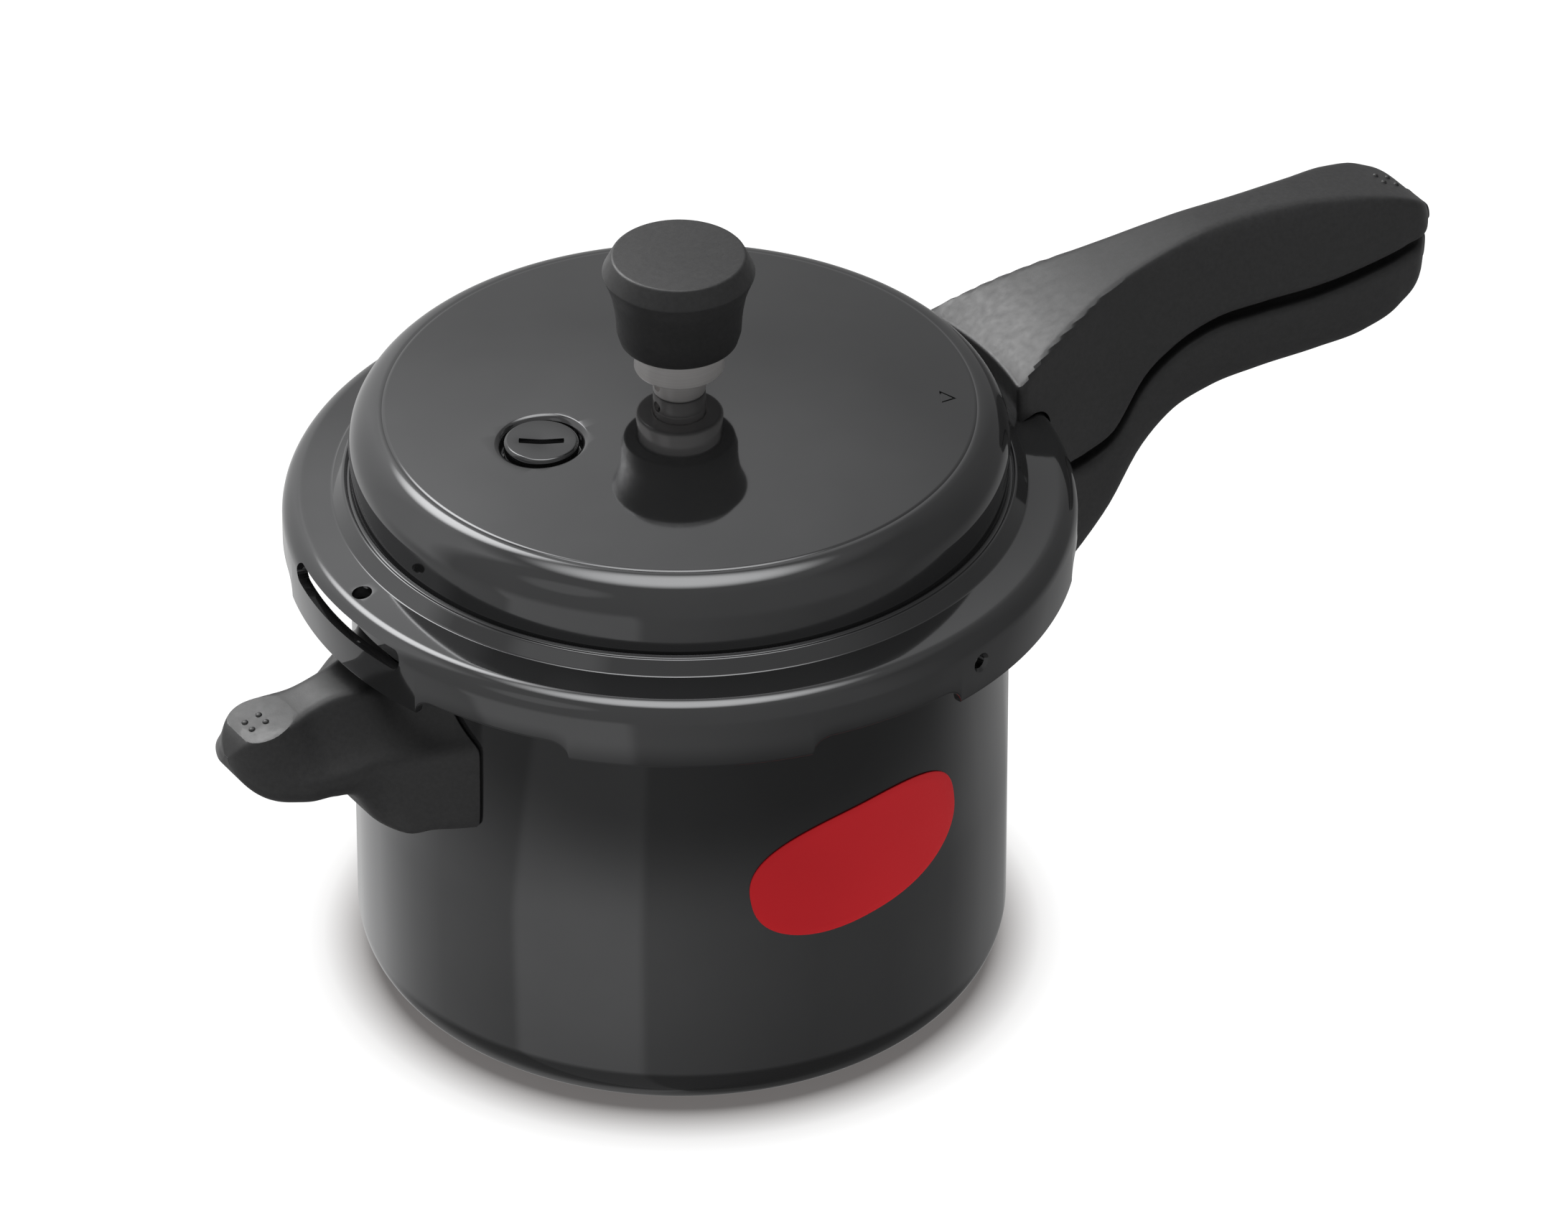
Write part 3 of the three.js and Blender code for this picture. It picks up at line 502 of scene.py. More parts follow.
def lid_face(inward, arc_steps):
    """Crown, shoulder, neck and stepped flange, moved inwards by an offset, without the skirt."""
    crown = [(r, dome_z(r) - inward) for r in np.linspace(VENT_HOLE_RADIUS, LINE_RADIUS - 0.9, 18)]
    if not inward:
        groove = 0.35
        crown += [(LINE_RADIUS - groove, dome_z(LINE_RADIUS - groove)), (LINE_RADIUS, LINE_Z - 0.16)]
    shoulder = arc(*SHOULDER_CENTRE, SHOULDER_ARC - inward, 79.5, 0, arc_steps)
    steps = filleted(
        [
            (shoulder[-1][0], shoulder[-1][1]),
            (NECK_RADIUS - inward, INNER_RING_Z - inward, 0.5),
            (INNER_RING_RADIUS - 0.5 * inward, INNER_RING_Z - inward, 0.6),
            (OUTER_RING_START - 0.7 * inward, OUTER_RING_Z - inward, 2.2 - 0.3 * inward),
            (FLANGE_CENTRE[0], OUTER_RING_Z - inward),
        ],
        6,
    )[1:-1]
    rounding = arc(*FLANGE_CENTRE, FLANGE_ROUNDING - inward, 90, 0, arc_steps - 4)
    return [*crown, *shoulder, *steps, *rounding]


OUTER_FACE = lid_face(0, 16)
INNER_FACE = lid_face(LID_SHEET, 10)


def lid_outline(angle):
    """Closed outline of the lid at an angle: up the inner face, then down the outer one to the skirt."""
    low = skirt_edge(angle)
    lip = 0.9
    outer = SKIRT_RADIUS
    inner = SKIRT_RADIUS - LID_SHEET
    has_tongue = off_centre(angle, 360 / LUG_COUNT) <= LUG_HALF_DEG
    reach = TONGUE_RADIUS if has_tongue else inner
    top = TONGUE_TOP_Z if has_tongue else low + 3.2
    skirt = [
        (inner, top + 1),
        (inner, top),
        (reach + 0.3, top - 0.01),
        (reach, top - 0.3),
        (reach, low + lip),
        (reach + 0.3, low + 0.3),
        *arc(inner + lip, low + lip, lip, 225, 270, 2),
        *arc(outer - lip, low + lip, lip, 270, 360, 5),
    ]
    return [*INNER_FACE, *skirt, *OUTER_FACE[::-1]]


def window_cutter():
    """Curved bar with rounded ends that opens the gasket-release window."""
    radius = (WINDOW_HIGH_Z - WINDOW_LOW_Z) / 2
    middle = (WINDOW_HIGH_Z + WINDOW_LOW_Z) / 2
    end_deg = math.degrees(radius / SKIRT_RADIUS)
    spread = [*(1 - np.cos(np.radians(np.linspace(4, 90, 9)))) * end_deg]
    offsets = [*(WINDOW_HALF_DEG - np.array(spread)), 0]
    offsets = [*offsets, *[-o for o in offsets[::-1][1:]]]
    loops = []
    for off in offsets:
        beyond = max(abs(off) - (WINDOW_HALF_DEG - end_deg), 0) / end_deg
        half = radius * math.sqrt(1 - beyond**2)
        angle = math.radians(WINDOW_DEG + off)
        c, s = math.cos(angle), math.sin(angle)
        corners = [(101, -1), (101, 1), (112, 1), (112, -1)]
        loops.append([(r * c, r * s, middle + side * half) for r, side in corners])
    return mesh_object("window_cut", *loft(loops))


def arrow_cutter():
    """Shallow triangular groove that points outwards on the crown."""
    depth = 0.45
    middle_r = 72.5
    outer = [(-1.95, -3.05), (2.7, 0), (-1.95, 3.05)]
    inner = [(-1.45, -2.2), (1.6, 0), (-1.45, 2.2)]
    points = [(x, y, z) for z in (-depth, 3) for loop in (outer, inner) for x, y in loop]
    faces = []
    for k in range(3):
        n = (k + 1) % 3
        faces.append([k, k + 3, n + 3, n])
        faces.append([6 + k, 6 + n, 9 + n, 9 + k])
        faces.append([k, n, 6 + n, 6 + k])
        faces.append([3 + k, 9 + k, 9 + n, 3 + n])
    tilt = Matrix.Rotation(dome_slope(middle_r), 4, "Y")
    place = turn_z(-30) @ Matrix.Translation((middle_r, 0, dome_z(middle_r))) @ tilt
    return placed(mesh_object("arrow_cut", points, faces), place)


def build_lid():
    curl = [CURL_DEG * math.sin(t) for t in np.radians(np.linspace(0, 90, 10))]
    stops = [DEEP_HALF_DEG + CURL_DEG - c for c in curl]
    skirt_stops = edges_of(360 / SECTION_COUNT, *stops)
    tongue_stops = edges_of(360 / LUG_COUNT, LUG_HALF_DEG, LUG_HALF_DEG + 0.15)
    lid = mesh_object("lid_dome", *swept(lid_outline, column_angles(1.25, skirt_stops + tongue_stops)))

    floor_low = PLUG_SEAT_Z - LID_SHEET
    carved(lid, post("seat_floor", SEAT_FLOOR_RADIUS, floor_low, SEAT_FLOOR_TOP_Z, PLUG_AT, 72), join=True)
    shank_hole = post("shank_cut", PLUG_HOLE_RADIUS, 160, 180, PLUG_AT, 48)
    seat_rim = [(0, PLUG_SEAT_Z), (SEAT_RADIUS, PLUG_SEAT_Z, 0.4), (SEAT_RADIUS, 182), (0, 182)]
    seat = turned_object("seat_cut", filleted(seat_rim), 72)
    placed(seat, Matrix.Translation((PLUG_AT, 0, 0)))
    flare = arc(SEAT_RADIUS - 0.05 + SEAT_ROLL, -SEAT_ROLL, SEAT_ROLL, 180, 90, 9)
    edge = turned_object("edge_cut", [(0, -SEAT_ROLL), *flare, (16, 0.02), (16, 6), (0, 6)], 72)
    lean = Matrix.Rotation(dome_slope(PLUG_AT), 4, "Y")
    placed(edge, Matrix.Translation((PLUG_AT, 0, dome_z(PLUG_AT) - 0.02)) @ lean)

    hole = post("hole_cut", FLANGE_HOLE_RADIUS, 140, 150, FLANGE_HOLE_AT)
    drill = [
        (0, -8),
        (SKIRT_HOLE_RADIUS, -8),
        (SKIRT_HOLE_RADIUS, -0.9),
        (SKIRT_HOLE_RADIUS + 1.1, 0.2),
        (4, 3),
        (0, 3),
    ]
    side_hole = turned_object("side_cut", drill, 40)
    lie = Matrix.Rotation(math.radians(90), 4, "Y")
    placed(side_hole, turn_z(SKIRT_HOLE_DEG) @ Matrix.Translation((SKIRT_RADIUS, 0, SKIRT_HOLE_Z)) @ lie)
    return carved(lid, seat, edge, shank_hole, hole, side_hole, window_cutter(), arrow_cutter())


# ---------- handles ----------
# Columns: distance from the pot's axis, top height, half width of the top face,
# height and half width of the widest line, height and half width of the underside.
LID_HANDLE = [
    [90, 150, 25.6, 126, 26.4, 124, 25],
    [94, 154.8, 24.8, 126, 25.4, 124, 24],
    [98, 158.6, 23.6, 126, 24.4, 124, 23],
    [106, 163.5, 20.2, 126, 21.2, 124, 20],
    [122, 169.4, 14.8, 126, 17, 124, 15.5],
    [132, 171.8, 11.7, 129, 15.4, 127, 14],
    [142, 173.6, 9.4, 142, 14.4, 140, 13],
    [152, 175.1, 7.8, 148.5, 13.8, 146.5, 12.4],
    [166, 176.5, 6.1, 153, 13.6, 151, 12.2],
    [182, 176.4, 5.3, 153.2, 14, 151.4, 12.6],
    [202, 175, 6.9, 152.6, 14.3, 150.8, 12.9],
    [218, 172.3, 10.2, 153.8, 14.5, 152.2, 13],
    [230, 168.4, 11.2, 155.2, 13.6, 153.6, 12.4],
    [239, 162.6, 8.6, 156, 10.4, 154.4, 9.6],
    [241.8, 159.4, 5.4, 156.3, 6.6, 154.8, 6],
]
BODY_HANDLE = [
    [84, 120.6, 22, 116.6, 25.5, 73, 17],
    [98, 120.6, 20, 116.6, 23, 75.5, 15],
    [112, 120.6, 16.5, 116.6, 19, 82.8, 12],
    [124, 120.6, 14, 116.8, 16.5, 91, 10],
    [132, 123.4, 12.8, 119.4, 15.3, 99.2, 9.4],
    [142, 136, 12, 132, 14.4, 113.8, 9],
    [152, 143, 11.4, 139, 13.8, 122.4, 8.6],
    [166, 147.6, 11.2, 143.6, 13.6, 126.9, 8.4],
    [182, 148, 11.6, 144, 14, 128, 8.6],
    [202, 147.4, 12, 143.1, 14.3, 127.8, 8.8],
    [218, 148.8, 12, 145, 14.3, 128.4, 9],
    [230, 150.2, 11, 147, 13, 131.8, 8.2],
    [238, 151, 8.2, 148.4, 9.8, 137.5, 6.2],
    [240.8, 151.1, 5, 149.2, 6.2, 141, 4],
]
HELPER = [
    [84, 121, 32, 110.6, 36, 84, 35],
    [91, 122, 22.5, 110, 33.6, 84, 33],
    [98, 122.4, 10.8, 108.8, 28.6, 84, 28.6],
    [104, 122.5, 8.6, 107, 24.2, 84, 25.2],
    [108, 122.3, 7.4, 106.2, 22, 86.4, 18.6],
    [113, 121.8, 6.4, 105.4, 21, 95, 16],
    [120, 120.5, 6.4, 105, 20.2, 97.7, 15],
    [127, 119.4, 8.4, 104.8, 19.4, 98.2, 14.4],
    [133, 119.2, 9.2, 105, 17.4, 99, 12.6],
    [143.4, 118.6, 9, 105.4, 16, 99.6, 11.6],
]
# The nose draws in every ring past its start, so the helper's last row is never seen at full size.
HELPER_NOSE = (131, 143.35, 109)  # where the nose starts and ends, and the height it closes on
NOSE_FULLNESS = 2.3  # exponent of the nose's outline: 2 is an ellipse, more is blunter
NOSE_SHORT = 0.06  # the last ring stops this far before the closing point
RING_POINTS = 120
GRIP_GAP = 0.3  # between a grip's root and the pot's wall
ROOT_FADE = 24  # distance over which a grip stops following the pot's wall


def table_rows(rows, places):
    """Values of a table at each distance, on cubic spans whose slopes follow the neighbouring rows."""
    table = np.array(rows, float)
    x, y = table[:, 0], table[:, 1:]
    slope = np.gradient(y, x, axis=0)
    i = np.clip(np.searchsorted(x, places, side="right") - 1, 0, len(x) - 2)
    span = (x[i + 1] - x[i])[:, None]
    t = ((np.array(places) - x[i])[:, None]) / span
    return (
        (2 * t**3 - 3 * t**2 + 1) * y[i]
        + (t**3 - 2 * t**2 + t) * span * slope[i]
        + (3 * t**2 - 2 * t**3) * y[i + 1]
        + (t**3 - t**2) * span * slope[i + 1]
    )


def bend(first, control, last, steps):
    """Points of a quadratic curve without its first point."""
    t = (np.arange(steps) + 1)[:, None] / steps
    first, control, last = (np.array(p, float) for p in (first, control, last))
    return (1 - t) ** 2 * first + 2 * t * (1 - t) * control + t**2 * last


def softened(loop, radius):
    """Even points along a closed loop, with its corners rounded by about a radius."""
    closed = np.vstack([loop, loop[:1]])
    lengths = np.concatenate([[0], np.cumsum(np.linalg.norm(np.diff(closed, axis=0), axis=1))])
    spots = np.linspace(0, lengths[-1], RING_POINTS, endpoint=False)
    even = np.stack([np.interp(spots, lengths, closed[:, k]) for k in (0, 1)], axis=1)
    gap = lengths[-1] / RING_POINTS
    reach = np.arange(-6, 7)
    weights = np.exp(-0.5 * (reach * gap / radius) ** 2)
    weights /= weights.sum()
    return sum(w * np.roll(even, -s, axis=0) for s, w in zip(reach, weights))


def grip_loop(size, swell, crown, radius):
    """(y, z) loop of a moulded grip, from the middle of its top face round and back."""
    top_z, top_half, side_z, side_half, low_z, low_half = size
    hip = (top_half + (side_half - top_half) * swell, top_z + (side_z - top_z) * (1 - swell))
    across = np.linspace(0, 1, 7)
    top = np.stack([across * top_half, top_z + crown * (1 - across**2)], axis=1)
    side = bend((top_half, top_z), hip, (side_half, side_z), 14)
    under = bend((side_half, side_z), (side_half, low_z), (low_half, low_z), 8)
    floor = np.stack([np.linspace(1, 0, 6)[1:] * low_half, np.full(5, low_z)], axis=1)
    half = np.vstack([top, side, under, floor])
    other = half[1:-1][::-1] * (-1, 1)
    return softened(np.vstack([half, other]), radius)


def end_rings(loop, place, outward, rounding):
    """Rings that round off an end of a grip, drawn in towards the loop's middle."""
    middle = loop.mean(axis=0)
    away = loop - middle
    reach = np.linalg.norm(away, axis=1)[:, None]
    rings = []
    for t in np.radians((25, 50, 70, 90)):
        inset = rounding * (1 - math.cos(t))
        rings.append((middle + away * (1 - inset / reach), place + outward * rounding * math.sin(t)))
    return rings


def rounded_nose(rings, nose):
    """Draws the last rings of a grip in towards a height on its axis, so that it ends in a round nose."""
    start, end, height = nose
    drawn = []
    for loop, x in rings:
        share = max((x - start) / (end - start), 0)
        size = math.sqrt(max(1 - share**NOSE_FULLNESS, 0))
        drawn.append(((0, height) + (loop - (0, height)) * size, x))
    return drawn


def grip(
    name, rows, swell, start, wall_radius, crown=0, radius=0.9, rounding=1.0, nose=0.8, tip=None, across=10
):
    """Moulded grip along +X whose root follows a cylinder about the pot's axis.

    With a tip the far end is drawn in to a round nose; otherwise it only has a rounded edge."""
    end = tip[1] - NOSE_SHORT if tip else rows[-1][0]
    share = np.linspace(0, 1, 84)
    spread = np.sin(share * math.pi / 2) if tip else 0.5 * np.sin(share * math.pi / 2) + 0.5 * share
    places = start + rounding + (end - start - rounding) * spread
    sizes = table_rows(rows, places)
    crowns = crown * np.exp(-(((places - 134) / 6) ** 2))
    rings = [(grip_loop(size, swell, c, radius), x) for size, c, x in zip(sizes, crowns, places)]
    if tip:
        rings = rounded_nose(rings, tip)
    rings = end_rings(rings[0][0], rings[0][1], -1, rounding)[::-1] + rings
    rings += end_rings(rings[-1][0], rings[-1][1], 1, nose)
    count = RING_POINTS
    half = count // 2

    def point(x, y, z):
        nearness = np.clip(1 - (x - start) / ROOT_FADE, 0, 1)
        fade = nearness**2 * (3 - 2 * nearness)
        sag = math.sqrt(max(wall_radius**2 - y**2, 0)) - wall_radius
        return (x + sag * fade, y, z)

    points = [point(x, y, z) for loop, x in rings for y, z in loop]
    faces = grid_faces(len(rings), count)
    for first, flip in ((0, False), ((len(rings) - 1) * count, True)):
        loop, x = rings[0] if not flip else rings[-1]
        row = [first] * (across + 1)
        for k in range(1, half + 1):
            left, right = loop[k], loop[(count - k) % count]
            if k == half:
                new = [first + half] * (across + 1)
            else:
                new = [first + k]
                for m in range(1, across):
                    y, z = left + (right - left) * m / across
                    new.append(len(points))
                    points.append(point(x, y, z))
                new.append(first + count - k)
            for m in range(across):
                quad = [row[m], row[m + 1], new[m + 1], new[m]]
                corners = list(dict.fromkeys(quad if flip else quad[::-1]))
                if len(corners) > 2:
                    faces.append(corners)
            row = new
    return mesh_object(name, points, faces)


def dot(name, place, radius, normal=(0, 0, 1), height=0.55):
    """Small raised bead on a moulded face."""
    rows = [(0, -0.6), (radius, -0.6), (radius, 0)]
    rows += [(radius * math.cos(t), height * math.sin(t)) for t in np.radians((25, 50, 70))]
    bead = turned_object(name, [*rows, (0, height)], 20)
    lean = Vector((0, 0, 1)).rotation_difference(Vector(normal)).to_matrix().to_4x4()
    return placed(bead, Matrix.Translation(place) @ lean)


def screw_bore(screw, low):
    """Cutter for the blind bore that a grip's screw sits in."""
    at_x, head_z, _ = screw
    return post("bore", SCREW_BORE_RADIUS, low, head_z + SCREW_BORE_GAP, at_x)


def build_lid_handle():
    handle = grip("lid_handle_grip", LID_HANDLE, 0.8, ROOT_RADIUS, ROOT_RADIUS, rounding=1.6)
    top = OUTER_RING_Z + 0.7
    clear = FLANGE_ROUNDING + 0.7
    flange_round = arc(*FLANGE_CENTRE, clear, 0, 90, 10)
    notch = [(0, 90), (FLANGE_CENTRE[0] + clear, 90), *flange_round, (80, top), (0, top)]
    carved(handle, turned_object("notch", notch, 240), screw_bore(LID_SCREW, 100))
    beads = []
    for x, y in ((230.3, -0.8), (234.5, -0.8), (234.4, 3.4), (230.2, 3.2)):
        here, beyond = table_rows(LID_HANDLE, [x, x + 1])[:, 0]
        beads.append(dot("bead", (x, y, here), 0.85, Vector((here - beyond, 0, 1)).normalized(), 0.65))
    return carved(handle, *beads, join=True)


def build_body_handle():
    root = POT_RADIUS + GRIP_GAP
    handle = grip("body_handle_grip", BODY_HANDLE, 1, root, root, rounding=0.6)
    return carved(handle, screw_bore(BODY_SCREW, 50))


PAD_AT = (135.5, 117.4)  # distance and height of the sloping thumb pad's middle
PAD_SLOPE = 0.215


def build_helper():
    root = POT_RADIUS + GRIP_GAP
    handle = grip(
        "helper_grip",
        HELPER,
        0.38,
        root,
        root,
        crown=1.2,
        radius=1.3,
        rounding=0.5,
        nose=0.05,
        tip=HELPER_NOSE,
    )
    blade = block("pad_cut", 30, 30, 0, 20)
    lean = Matrix.Rotation(math.atan(PAD_SLOPE), 4, "Y")
    placed(blade, Matrix.Translation((PAD_AT[0], 0, PAD_AT[1])) @ lean)
    carved(handle, screw_bore(HELPER_SCREW, 60), blade)
    normal = Vector((PAD_SLOPE, 0, 1)).normalized()
    spots = [(131.9, 1.9), (136.2, 1.9), (131.9, -1.9), (136.2, -1.9)]
    beads = []
    for x, y in spots:
        pad_z = PAD_AT[1] - PAD_SLOPE * (x - PAD_AT[0])
        beads.append(dot("bead", (x, y, pad_z), 0.95, normal))
    carved(handle, *beads, join=True)
    return placed(handle, turn_z(180))


# ---------- valve, plug and weight ----------


def build_vent_pipe():
    seat = CROWN_Z + 0.3
    outline = filleted(
        [
            (1.3, 167.6),
            (3.9, 167.6, 0.4),
            (3.9, seat),
            (6.5, seat, 0.3),
            (6.5, seat + 4.4, 0.15),
            (6.3, seat + 4.7, 0.15),
            (6.5, seat + 5, 0.15),
            (6.5, 188.4, 0.5),
            (4.4, 190.4, 0.4),
            (4.4, 200.2),
            (3.4, 201.6, 0.5),
            (1.3, 201.6),
        ]
    )
    pipe = turned_object("vent_tube", outline, 72)
    spot = post("spot_cut", 1.6, 5.5, 9)
    lie = Matrix.Rotation(math.radians(-90), 4, "Y")
    placed(spot, Matrix.Translation((0, 0, seat + 3.1)) @ lie)
    return carved(pipe, spot)


def build_plug():
    seat = PLUG_SEAT_Z + 0.3
    outline = filleted(
        [
            (0, PLUG_BOTTOM_Z),
            (5.8, PLUG_BOTTOM_Z, 0.5),
            (5.8, seat),
            (PLUG_RADIUS, seat, 0.3),
            (PLUG_RADIUS, PLUG_TOP_Z, 0.25),
            (0, PLUG_TOP_Z),
        ],
        5,
    )
    plug = turned_object("plug_head", outline, 96)
    half_wide, half_long, run_out, depth = 1.15, 8.2, 1.6, 1.5
    top = PLUG_TOP_Z + 0.5
    points = []
    for x in (-1, 1):
        for y in (-half_wide, half_wide):
            points.append((x * (half_long - run_out), y, PLUG_TOP_Z - depth))
            points.append((x * (half_long + 0.5), y, top))
    faces = [[0, 1, 3, 2], [4, 6, 7, 5], [0, 4, 5, 1], [2, 3, 7, 6], [1, 5, 7, 3], [0, 2, 6, 4]]
    slot = placed(mesh_object("slot_cut", points, faces), turn_z(PLUG_SLOT_DEG))
    return placed(carved(plug, slot), Matrix.Translation((PLUG_AT, 0, 0)))


WEIGHT_RADIUS = 11.9
WEIGHT_LOW_Z = 185.9
WEIGHT_HIGH_Z = 212.6
CAP_TOP_Z = 221.2
CAP_LOW_Z = 193.9


def build_weight():
    outline = filleted(
        [
            (WEIGHT_RADIUS, WEIGHT_LOW_Z, 0.6),
            (WEIGHT_RADIUS, CAP_LOW_Z - 2.5),
            (WEIGHT_RADIUS, WEIGHT_HIGH_Z),
            (0, WEIGHT_HIGH_Z),
            (0, 208.4),
            (5, 208.4),
            (5, 205.8),
            (3.1, 205.8),
            (3.1, 203),
            (5.6, 202.4),
            (5.6, 192.6),
            (7.6, 192.6, 0.4),
            (7.6, WEIGHT_LOW_Z, 0.5),
        ],
        6,
    )
    return turned_object("weight_core", outline, 96)


def build_cap():
    outline = filleted(
        [
            (16.5, CAP_LOW_Z, 1.5),
            (16.9, CAP_LOW_Z + 4),
            (17.15, CAP_LOW_Z + 8),
            (17.5, CAP_LOW_Z + 11),
            (18.3, CAP_LOW_Z + 15.4),
            (19.4, CAP_LOW_Z + 18.8),
            (20.4, CAP_TOP_Z - 5.2, 0.7),
            (18.2, CAP_TOP_Z, 1),
            (0, CAP_TOP_Z),
            (0, WEIGHT_HIGH_Z + 0.3),
            (WEIGHT_RADIUS + 0.3, WEIGHT_HIGH_Z + 0.3),
            (WEIGHT_RADIUS + 0.3, CAP_LOW_Z + 0.6),
            (WEIGHT_RADIUS + 0.9, CAP_LOW_Z),
        ],
        5,
    )
    return turned_object("weight_knob", outline, 144)


def build_screw(name, screw, side=1):
    """Slotted screw, head down, on the long handle's side of the pot or opposite it."""
    at_x, head_z, tip_z = screw
    outline = filleted(
        [
            (0, head_z - 3),
            (4.5, head_z - 3, 1.4),
            (4.5, head_z, 0.2),
            (2.5, head_z),
            (2.5, tip_z, 0.4),
            (0, tip_z),
        ]
    )
    slot = block("slot_cut", 6, 0.6, head_z - 4, head_z - 1.8)
    return placed(carved(turned_object(name, outline, 48), slot), Matrix.Translation((side * at_x, 0, 0)))


LABEL_DEG = -88
LABEL_Z = 75.6
LABEL_HALVES = (33.5, 18.6)
LABEL_FULLNESS = 2.5  # exponent of the oval: 2 is an ellipse, more is squarer
LABEL_TILT_DEG = 9


def build_label():
    """Oval film on the pot wall: rings of points wrapped on the cylinder, with a thin rolled edge."""
    tilt = math.radians(LABEL_TILT_DEG)
    skin = POT_RADIUS + 0.06
    rings = [(share, skin + 0.34) for share in np.linspace(0.1, 0.985, 10)]
    rings += [(0.996, skin + 0.28), (1, skin + 0.15), (1, skin)]
    rings += [(share, skin) for share in np.linspace(0.9, 0.1, 8)]
    count = 120
    points = []
    for share, radius in rings:
        for t in np.linspace(0, FULL, count, endpoint=False):
            c, s = math.cos(t), math.sin(t)
            u = share * LABEL_HALVES[0] * math.copysign(abs(c) ** (2 / LABEL_FULLNESS), c)
            v = share * LABEL_HALVES[1] * math.copysign(abs(s) ** (2 / LABEL_FULLNESS), s)
            along = u * math.cos(tilt) - v * math.sin(tilt)
            rise = u * math.sin(tilt) + v * math.cos(tilt)
            angle = math.radians(LABEL_DEG) + math.asin(along / POT_RADIUS)
            points.append((radius * math.cos(angle), radius * math.sin(angle), LABEL_Z + rise))
    faces = grid_faces(len(rings), count)
    faces.append(list(range(count)))
    faces.append([(len(rings) - 1) * count + k for k in range(count)][::-1])
    return mesh_object("label_film", points, faces)


# ---------- assembly ----------
moulded = bpy.data.collections.new("moulded_pieces")
finish_piece(build_pot(), "pot", "anodised", ["pot_body"])
finish_piece(build_body_handle(), "pot", "bakelite", ["body_handle"])
finish_piece(build_helper(), "pot", "bakelite", ["helper_handle"])
finish_piece(build_label(), "pot", "label", ["label_badge"])
finish_piece(build_screw("body_grip_screw", BODY_SCREW), "pot", "steel", ["body_handle_screw"])
finish_piece(build_screw("helper_grip_screw", HELPER_SCREW, -1), "pot", "steel", ["helper_handle_screw"])
finish_piece(build_lid(), "lid", "anodised", ["lid_shell"])
finish_piece(build_lid_handle(), "lid", "bakelite", ["lid_handle"])
finish_piece(build_screw("lid_grip_screw", LID_SCREW), "lid", "steel", ["lid_handle_screw"])
finish_piece(build_vent_pipe(), "lid", "steel", ["vent_pipe"])
finish_piece(build_plug(), "lid", "dark_plug", ["safety_plug"])
finish_piece(build_weight(), "weight", "steel", ["weight_body"])
finish_piece(build_cap(), "weight", "bakelite", ["weight_cap"])

slots = {row["node"]: row["material_slot"] for row in frame["record"]["subparts"]}
for name, node in frame["nodes"].items():
    if node.hide_render:
        continue
    node.data.materials.clear()
    node.data.materials.append(LOOKS[slots[name]])

# ---------- camera ----------
CAMERA_PITCH_DEG = 34.0
CAMERA_AZIMUTH_DEG = -32
CAMERA_DISTANCE_MM = 3436.4
TARGET = Vector((24.02, -15.01, 105.14))
pitch = math.radians(CAMERA_PITCH_DEG)
azimuth = math.radians(CAMERA_AZIMUTH_DEG)
back = Vector((math.sin(azimuth) * math.cos(pitch), -math.cos(azimuth) * math.cos(pitch), math.sin(pitch)))
lens = bpy.data.cameras.new("photo_camera")
lens.lens = 288.1
lens.sensor_width = 36
lens.clip_end = 20
camera = bpy.data.objects.new("photo_camera", lens)
camera.location = (TARGET + back * CAMERA_DISTANCE_MM) * MM
camera.rotation_euler = back.to_track_quat("Z", "Y").to_euler()
scene.collection.objects.link(camera)
scene.camera = camera

# ---------- floor and light ----------
scene.view_settings.view_transform = "Standard"


# Tone of the floor's glow by distance from the pot's axis: a painted soft contact shadow, then plain white.
PAINTED_SHADOW_REACH = 120
PAINTED_SHADOW_TONES = [(86, 0.14), (90, 0.38), (95, 0.62), (100, 0.84), (106, 0.96), (111, 1)]


def build_floor():
    half = 6000
    corners = [(-half, -half, 0), (half, -half, 0), (half, half, 0), (-half, half, 0)]
    floor = mesh_plane("floor", corners)
    look = Look("white_floor", 0.9, 0)
    look.tint(look.remap(look.noise(0.6, 2), 0, 1), (0.12, 0.119, 0.118), (0.13, 0.129, 0.128))
    look.shader.inputs["Specular IOR Level"].default_value = 0
    distance = look.nodes.new("ShaderNodeVectorMath")
    distance.operation = "LENGTH"
    look.links.new(look.place, distance.inputs[0])
    share = look.remap(distance.outputs["Value"], 0, 1, 0, PAINTED_SHADOW_REACH * MM)
    # Painted contact shadow: this ramp darkens the floor's glow near the pot instead of a cast shadow.
    ramp = look.nodes.new("ShaderNodeValToRGB")
    fill_ramp(ramp, [(at / PAINTED_SHADOW_REACH, (tone, tone**1.03, tone**1.04)) for at, tone in PAINTED_SHADOW_TONES])
    look.links.new(share, ramp.inputs["Fac"])
    look.links.new(ramp.outputs["Color"], look.shader.inputs["Emission Color"])
    look.shader.inputs["Emission Strength"].default_value = 1
    floor.data.materials.append(look.material)
    floor.visible_glossy = False


def toward(azimuth_deg, elevation_deg):
    """Direction in the camera's frame: azimuth 0 is straight behind the cooker and 90 is to its right."""
    a, e = math.radians(azimuth_deg), math.radians(elevation_deg)
    return Vector((math.sin(a) * math.cos(e), math.cos(a) * math.cos(e), math.sin(e)))


def fill_light(name, azimuth_deg, elevation_deg, distance, size, power, glossy=False):
    """Softbox aimed at the cooker, which has a mirror image only if it is glossy."""
    direction = Matrix.Rotation(azimuth, 3, "Z") @ toward(azimuth_deg, elevation_deg)
    data = bpy.data.lights.new(name, "AREA")
    data.shape = "RECTANGLE"
    data.size, data.size_y = size
    data.energy = power
    light = bpy.data.objects.new(name, data)
    light.location = Vector((0, 0, 0.1)) + direction * distance
    light.rotation_euler = direction.to_track_quat("Z", "Y").to_euler()
    light.visible_glossy = glossy
    scene.collection.objects.link(light)
    return light


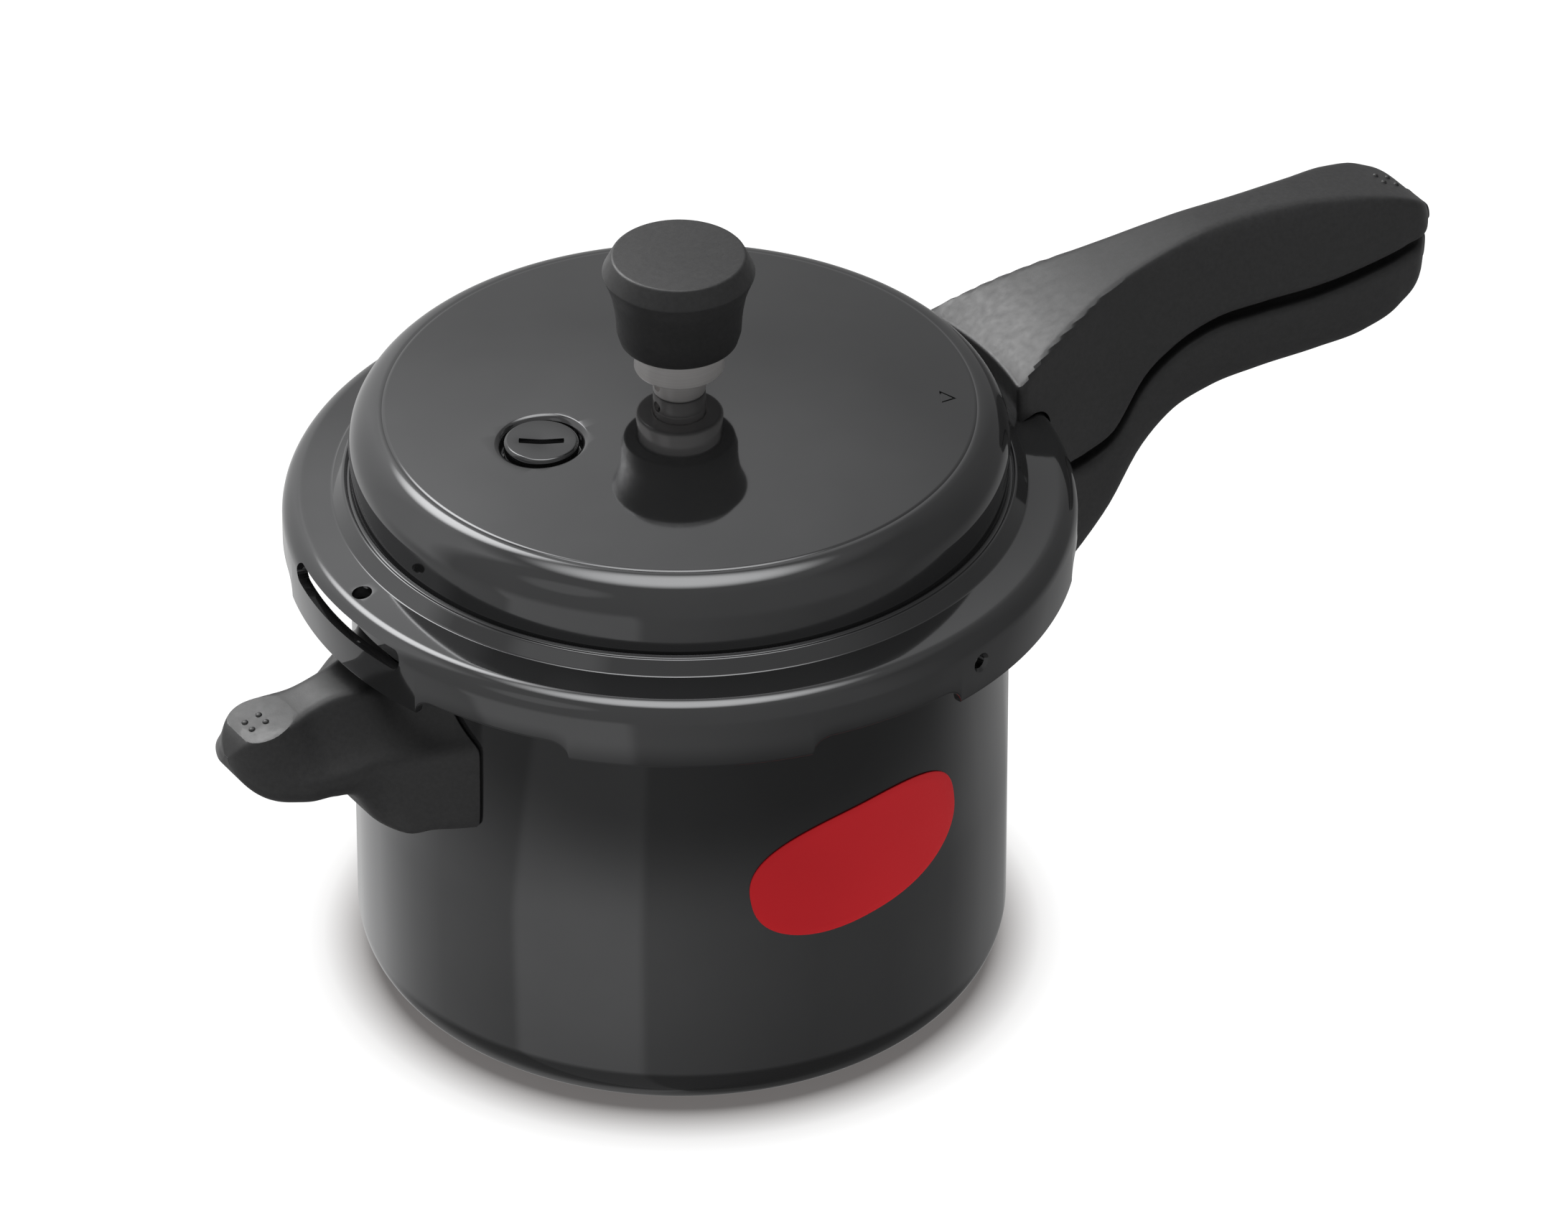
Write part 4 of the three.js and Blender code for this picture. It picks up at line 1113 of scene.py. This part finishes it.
# Brightness above and below the horizon, by azimuth in the camera's frame.
UPPER_BAND = [
    (-180, 0.21),
    (-102, 0.22),
    (-91, 0.5),
    (-62, 0.47),
    (-44, 0.58),
    (-30, 0.68),
    (-18, 0.64),
    (-8, 0.38),
    (8, 0.26),
    (34, 0.14),
    (75, 0.1),
    (100, 0.11),
    (125, 0.17),
    (180, 0.21),
]
LOWER_BAND = [
    (-180, 0.2),
    (-168, 0.21),
    (-165, 0.34),
    (-120, 0.36),
    (-117, 0.23),
    (-85, 0.29),
    (-70, 0.4),
    (-45, 0.68),
    (-18, 0.7),
    (15, 0.24),
    (45, 0.25),
    (70, 0.15),
    (100, 0.12),
    (130, 0.13),
    (180, 0.2),
]
# Soft round panels: azimuth, elevation, radius of full and of no light in degrees, added level.
PANELS = [
    (-10, 86, 6, 25, 1.85),
    (-30, 50, 3, 14.5, 2.9),
    (-8, 44, 3, 20, 0.16),
    (-138, 36, 8, 16, 0.13),
]
# Heights, as sines of elevation, over which one part of the surround passes into the next.
HORIZON_BLEND = (-0.42, -0.12)
CEILING_BLEND = (0.76, 0.92)
UNDERSIDE_BLEND = (-0.74, -0.585)
CEILING_LEVEL = 0.21
UNDERSIDE_SHARE = 0.3


def fill_ramp(ramp, stops):
    """Sets the stops of a colour ramp node from (position, colour) pairs."""
    elements = ramp.color_ramp.elements
    while len(elements) < len(stops):
        elements.new(0.5)
    for element, (at, colour) in zip(elements, stops):
        element.position = at
        element.color = (*colour, 1)


class SkyNodes:
    """Small helper that chains the math nodes of the studio surround."""

    def __init__(self, tree):
        self.tree = tree

    def math(self, operation, first, second):
        node = self.tree.nodes.new("ShaderNodeMath")
        node.operation = operation
        for socket, value in zip(node.inputs, (first, second)):
            if isinstance(value, (int, float)):
                socket.default_value = value
            else:
                self.tree.links.new(value, socket)
        return node.outputs[0]

    def ease(self, value, low, high, level_low=0, level_high=1):
        node = self.tree.nodes.new("ShaderNodeMapRange")
        node.interpolation_type = "SMOOTHSTEP"
        node.inputs["From Min"].default_value = low
        node.inputs["From Max"].default_value = high
        node.inputs["To Min"].default_value = level_low
        node.inputs["To Max"].default_value = level_high
        self.tree.links.new(value, node.inputs["Value"])
        return node.outputs["Result"]

    def band(self, share, stops):
        """Level by azimuth, where the share runs from 0 to 1 over a full turn."""
        ramp = self.tree.nodes.new("ShaderNodeValToRGB")
        fill_ramp(ramp, [(at / 360 + 0.5, (level, level, level)) for at, level in stops])
        self.tree.links.new(share, ramp.inputs["Fac"])
        return ramp.outputs["Color"]

    def facing(self, direction, axis):
        node = self.tree.nodes.new("ShaderNodeVectorMath")
        node.operation = "DOT_PRODUCT"
        self.tree.links.new(direction, node.inputs[0])
        node.inputs[1].default_value = axis
        return node.outputs["Value"]


def build_world():
    """Studio surround in the camera's frame: a soft horizon band, a ceiling level and soft panels."""
    world = bpy.data.worlds.new("studio")
    scene.world = world
    world.use_nodes = True
    tree = world.node_tree
    sky = SkyNodes(tree)
    turn = tree.nodes.new("ShaderNodeMapping")
    turn.inputs["Rotation"].default_value = (0, 0, -azimuth)
    tree.links.new(tree.nodes.new("ShaderNodeTexCoord").outputs["Generated"], turn.inputs["Vector"])
    direction = turn.outputs["Vector"]
    parts = tree.nodes.new("ShaderNodeSeparateXYZ")
    tree.links.new(direction, parts.inputs["Vector"])

    bearing = sky.math("ARCTAN2", parts.outputs["X"], parts.outputs["Y"])
    share = sky.math("ADD", sky.math("DIVIDE", bearing, FULL), 0.5)
    height = parts.outputs["Z"]
    upper = sky.math("MULTIPLY", sky.band(share, UPPER_BAND), sky.ease(height, *HORIZON_BLEND))
    lower = sky.math("MULTIPLY", sky.band(share, LOWER_BAND), sky.ease(height, *HORIZON_BLEND, 1, 0))
    band = sky.math("ADD", upper, lower)
    band = sky.math("MULTIPLY", band, sky.ease(height, *CEILING_BLEND, 1, 0))
    band = sky.math("MULTIPLY", band, sky.ease(height, *UNDERSIDE_BLEND, UNDERSIDE_SHARE, 1))
    light = sky.math("ADD", band, sky.ease(height, *CEILING_BLEND, 0, CEILING_LEVEL))
    for azimuth_deg, elevation_deg, full, none, level in PANELS:
        near = sky.facing(direction, toward(azimuth_deg, elevation_deg))
        edges = math.cos(math.radians(none)), math.cos(math.radians(full))
        light = sky.math("ADD", light, sky.ease(near, *edges, 0, level))
    tree.links.new(light, tree.nodes["Background"].inputs["Color"])


build_floor()
build_world()
fill_light("ceiling_fill", -20, 80, 2.2, (2.0, 2.0), 40)
sheen = fill_light("grip_sheen", -52, 42, 1.8, (1.0, 1.0), 16, glossy=True)
sheen.light_linking.receiver_collection = moulded
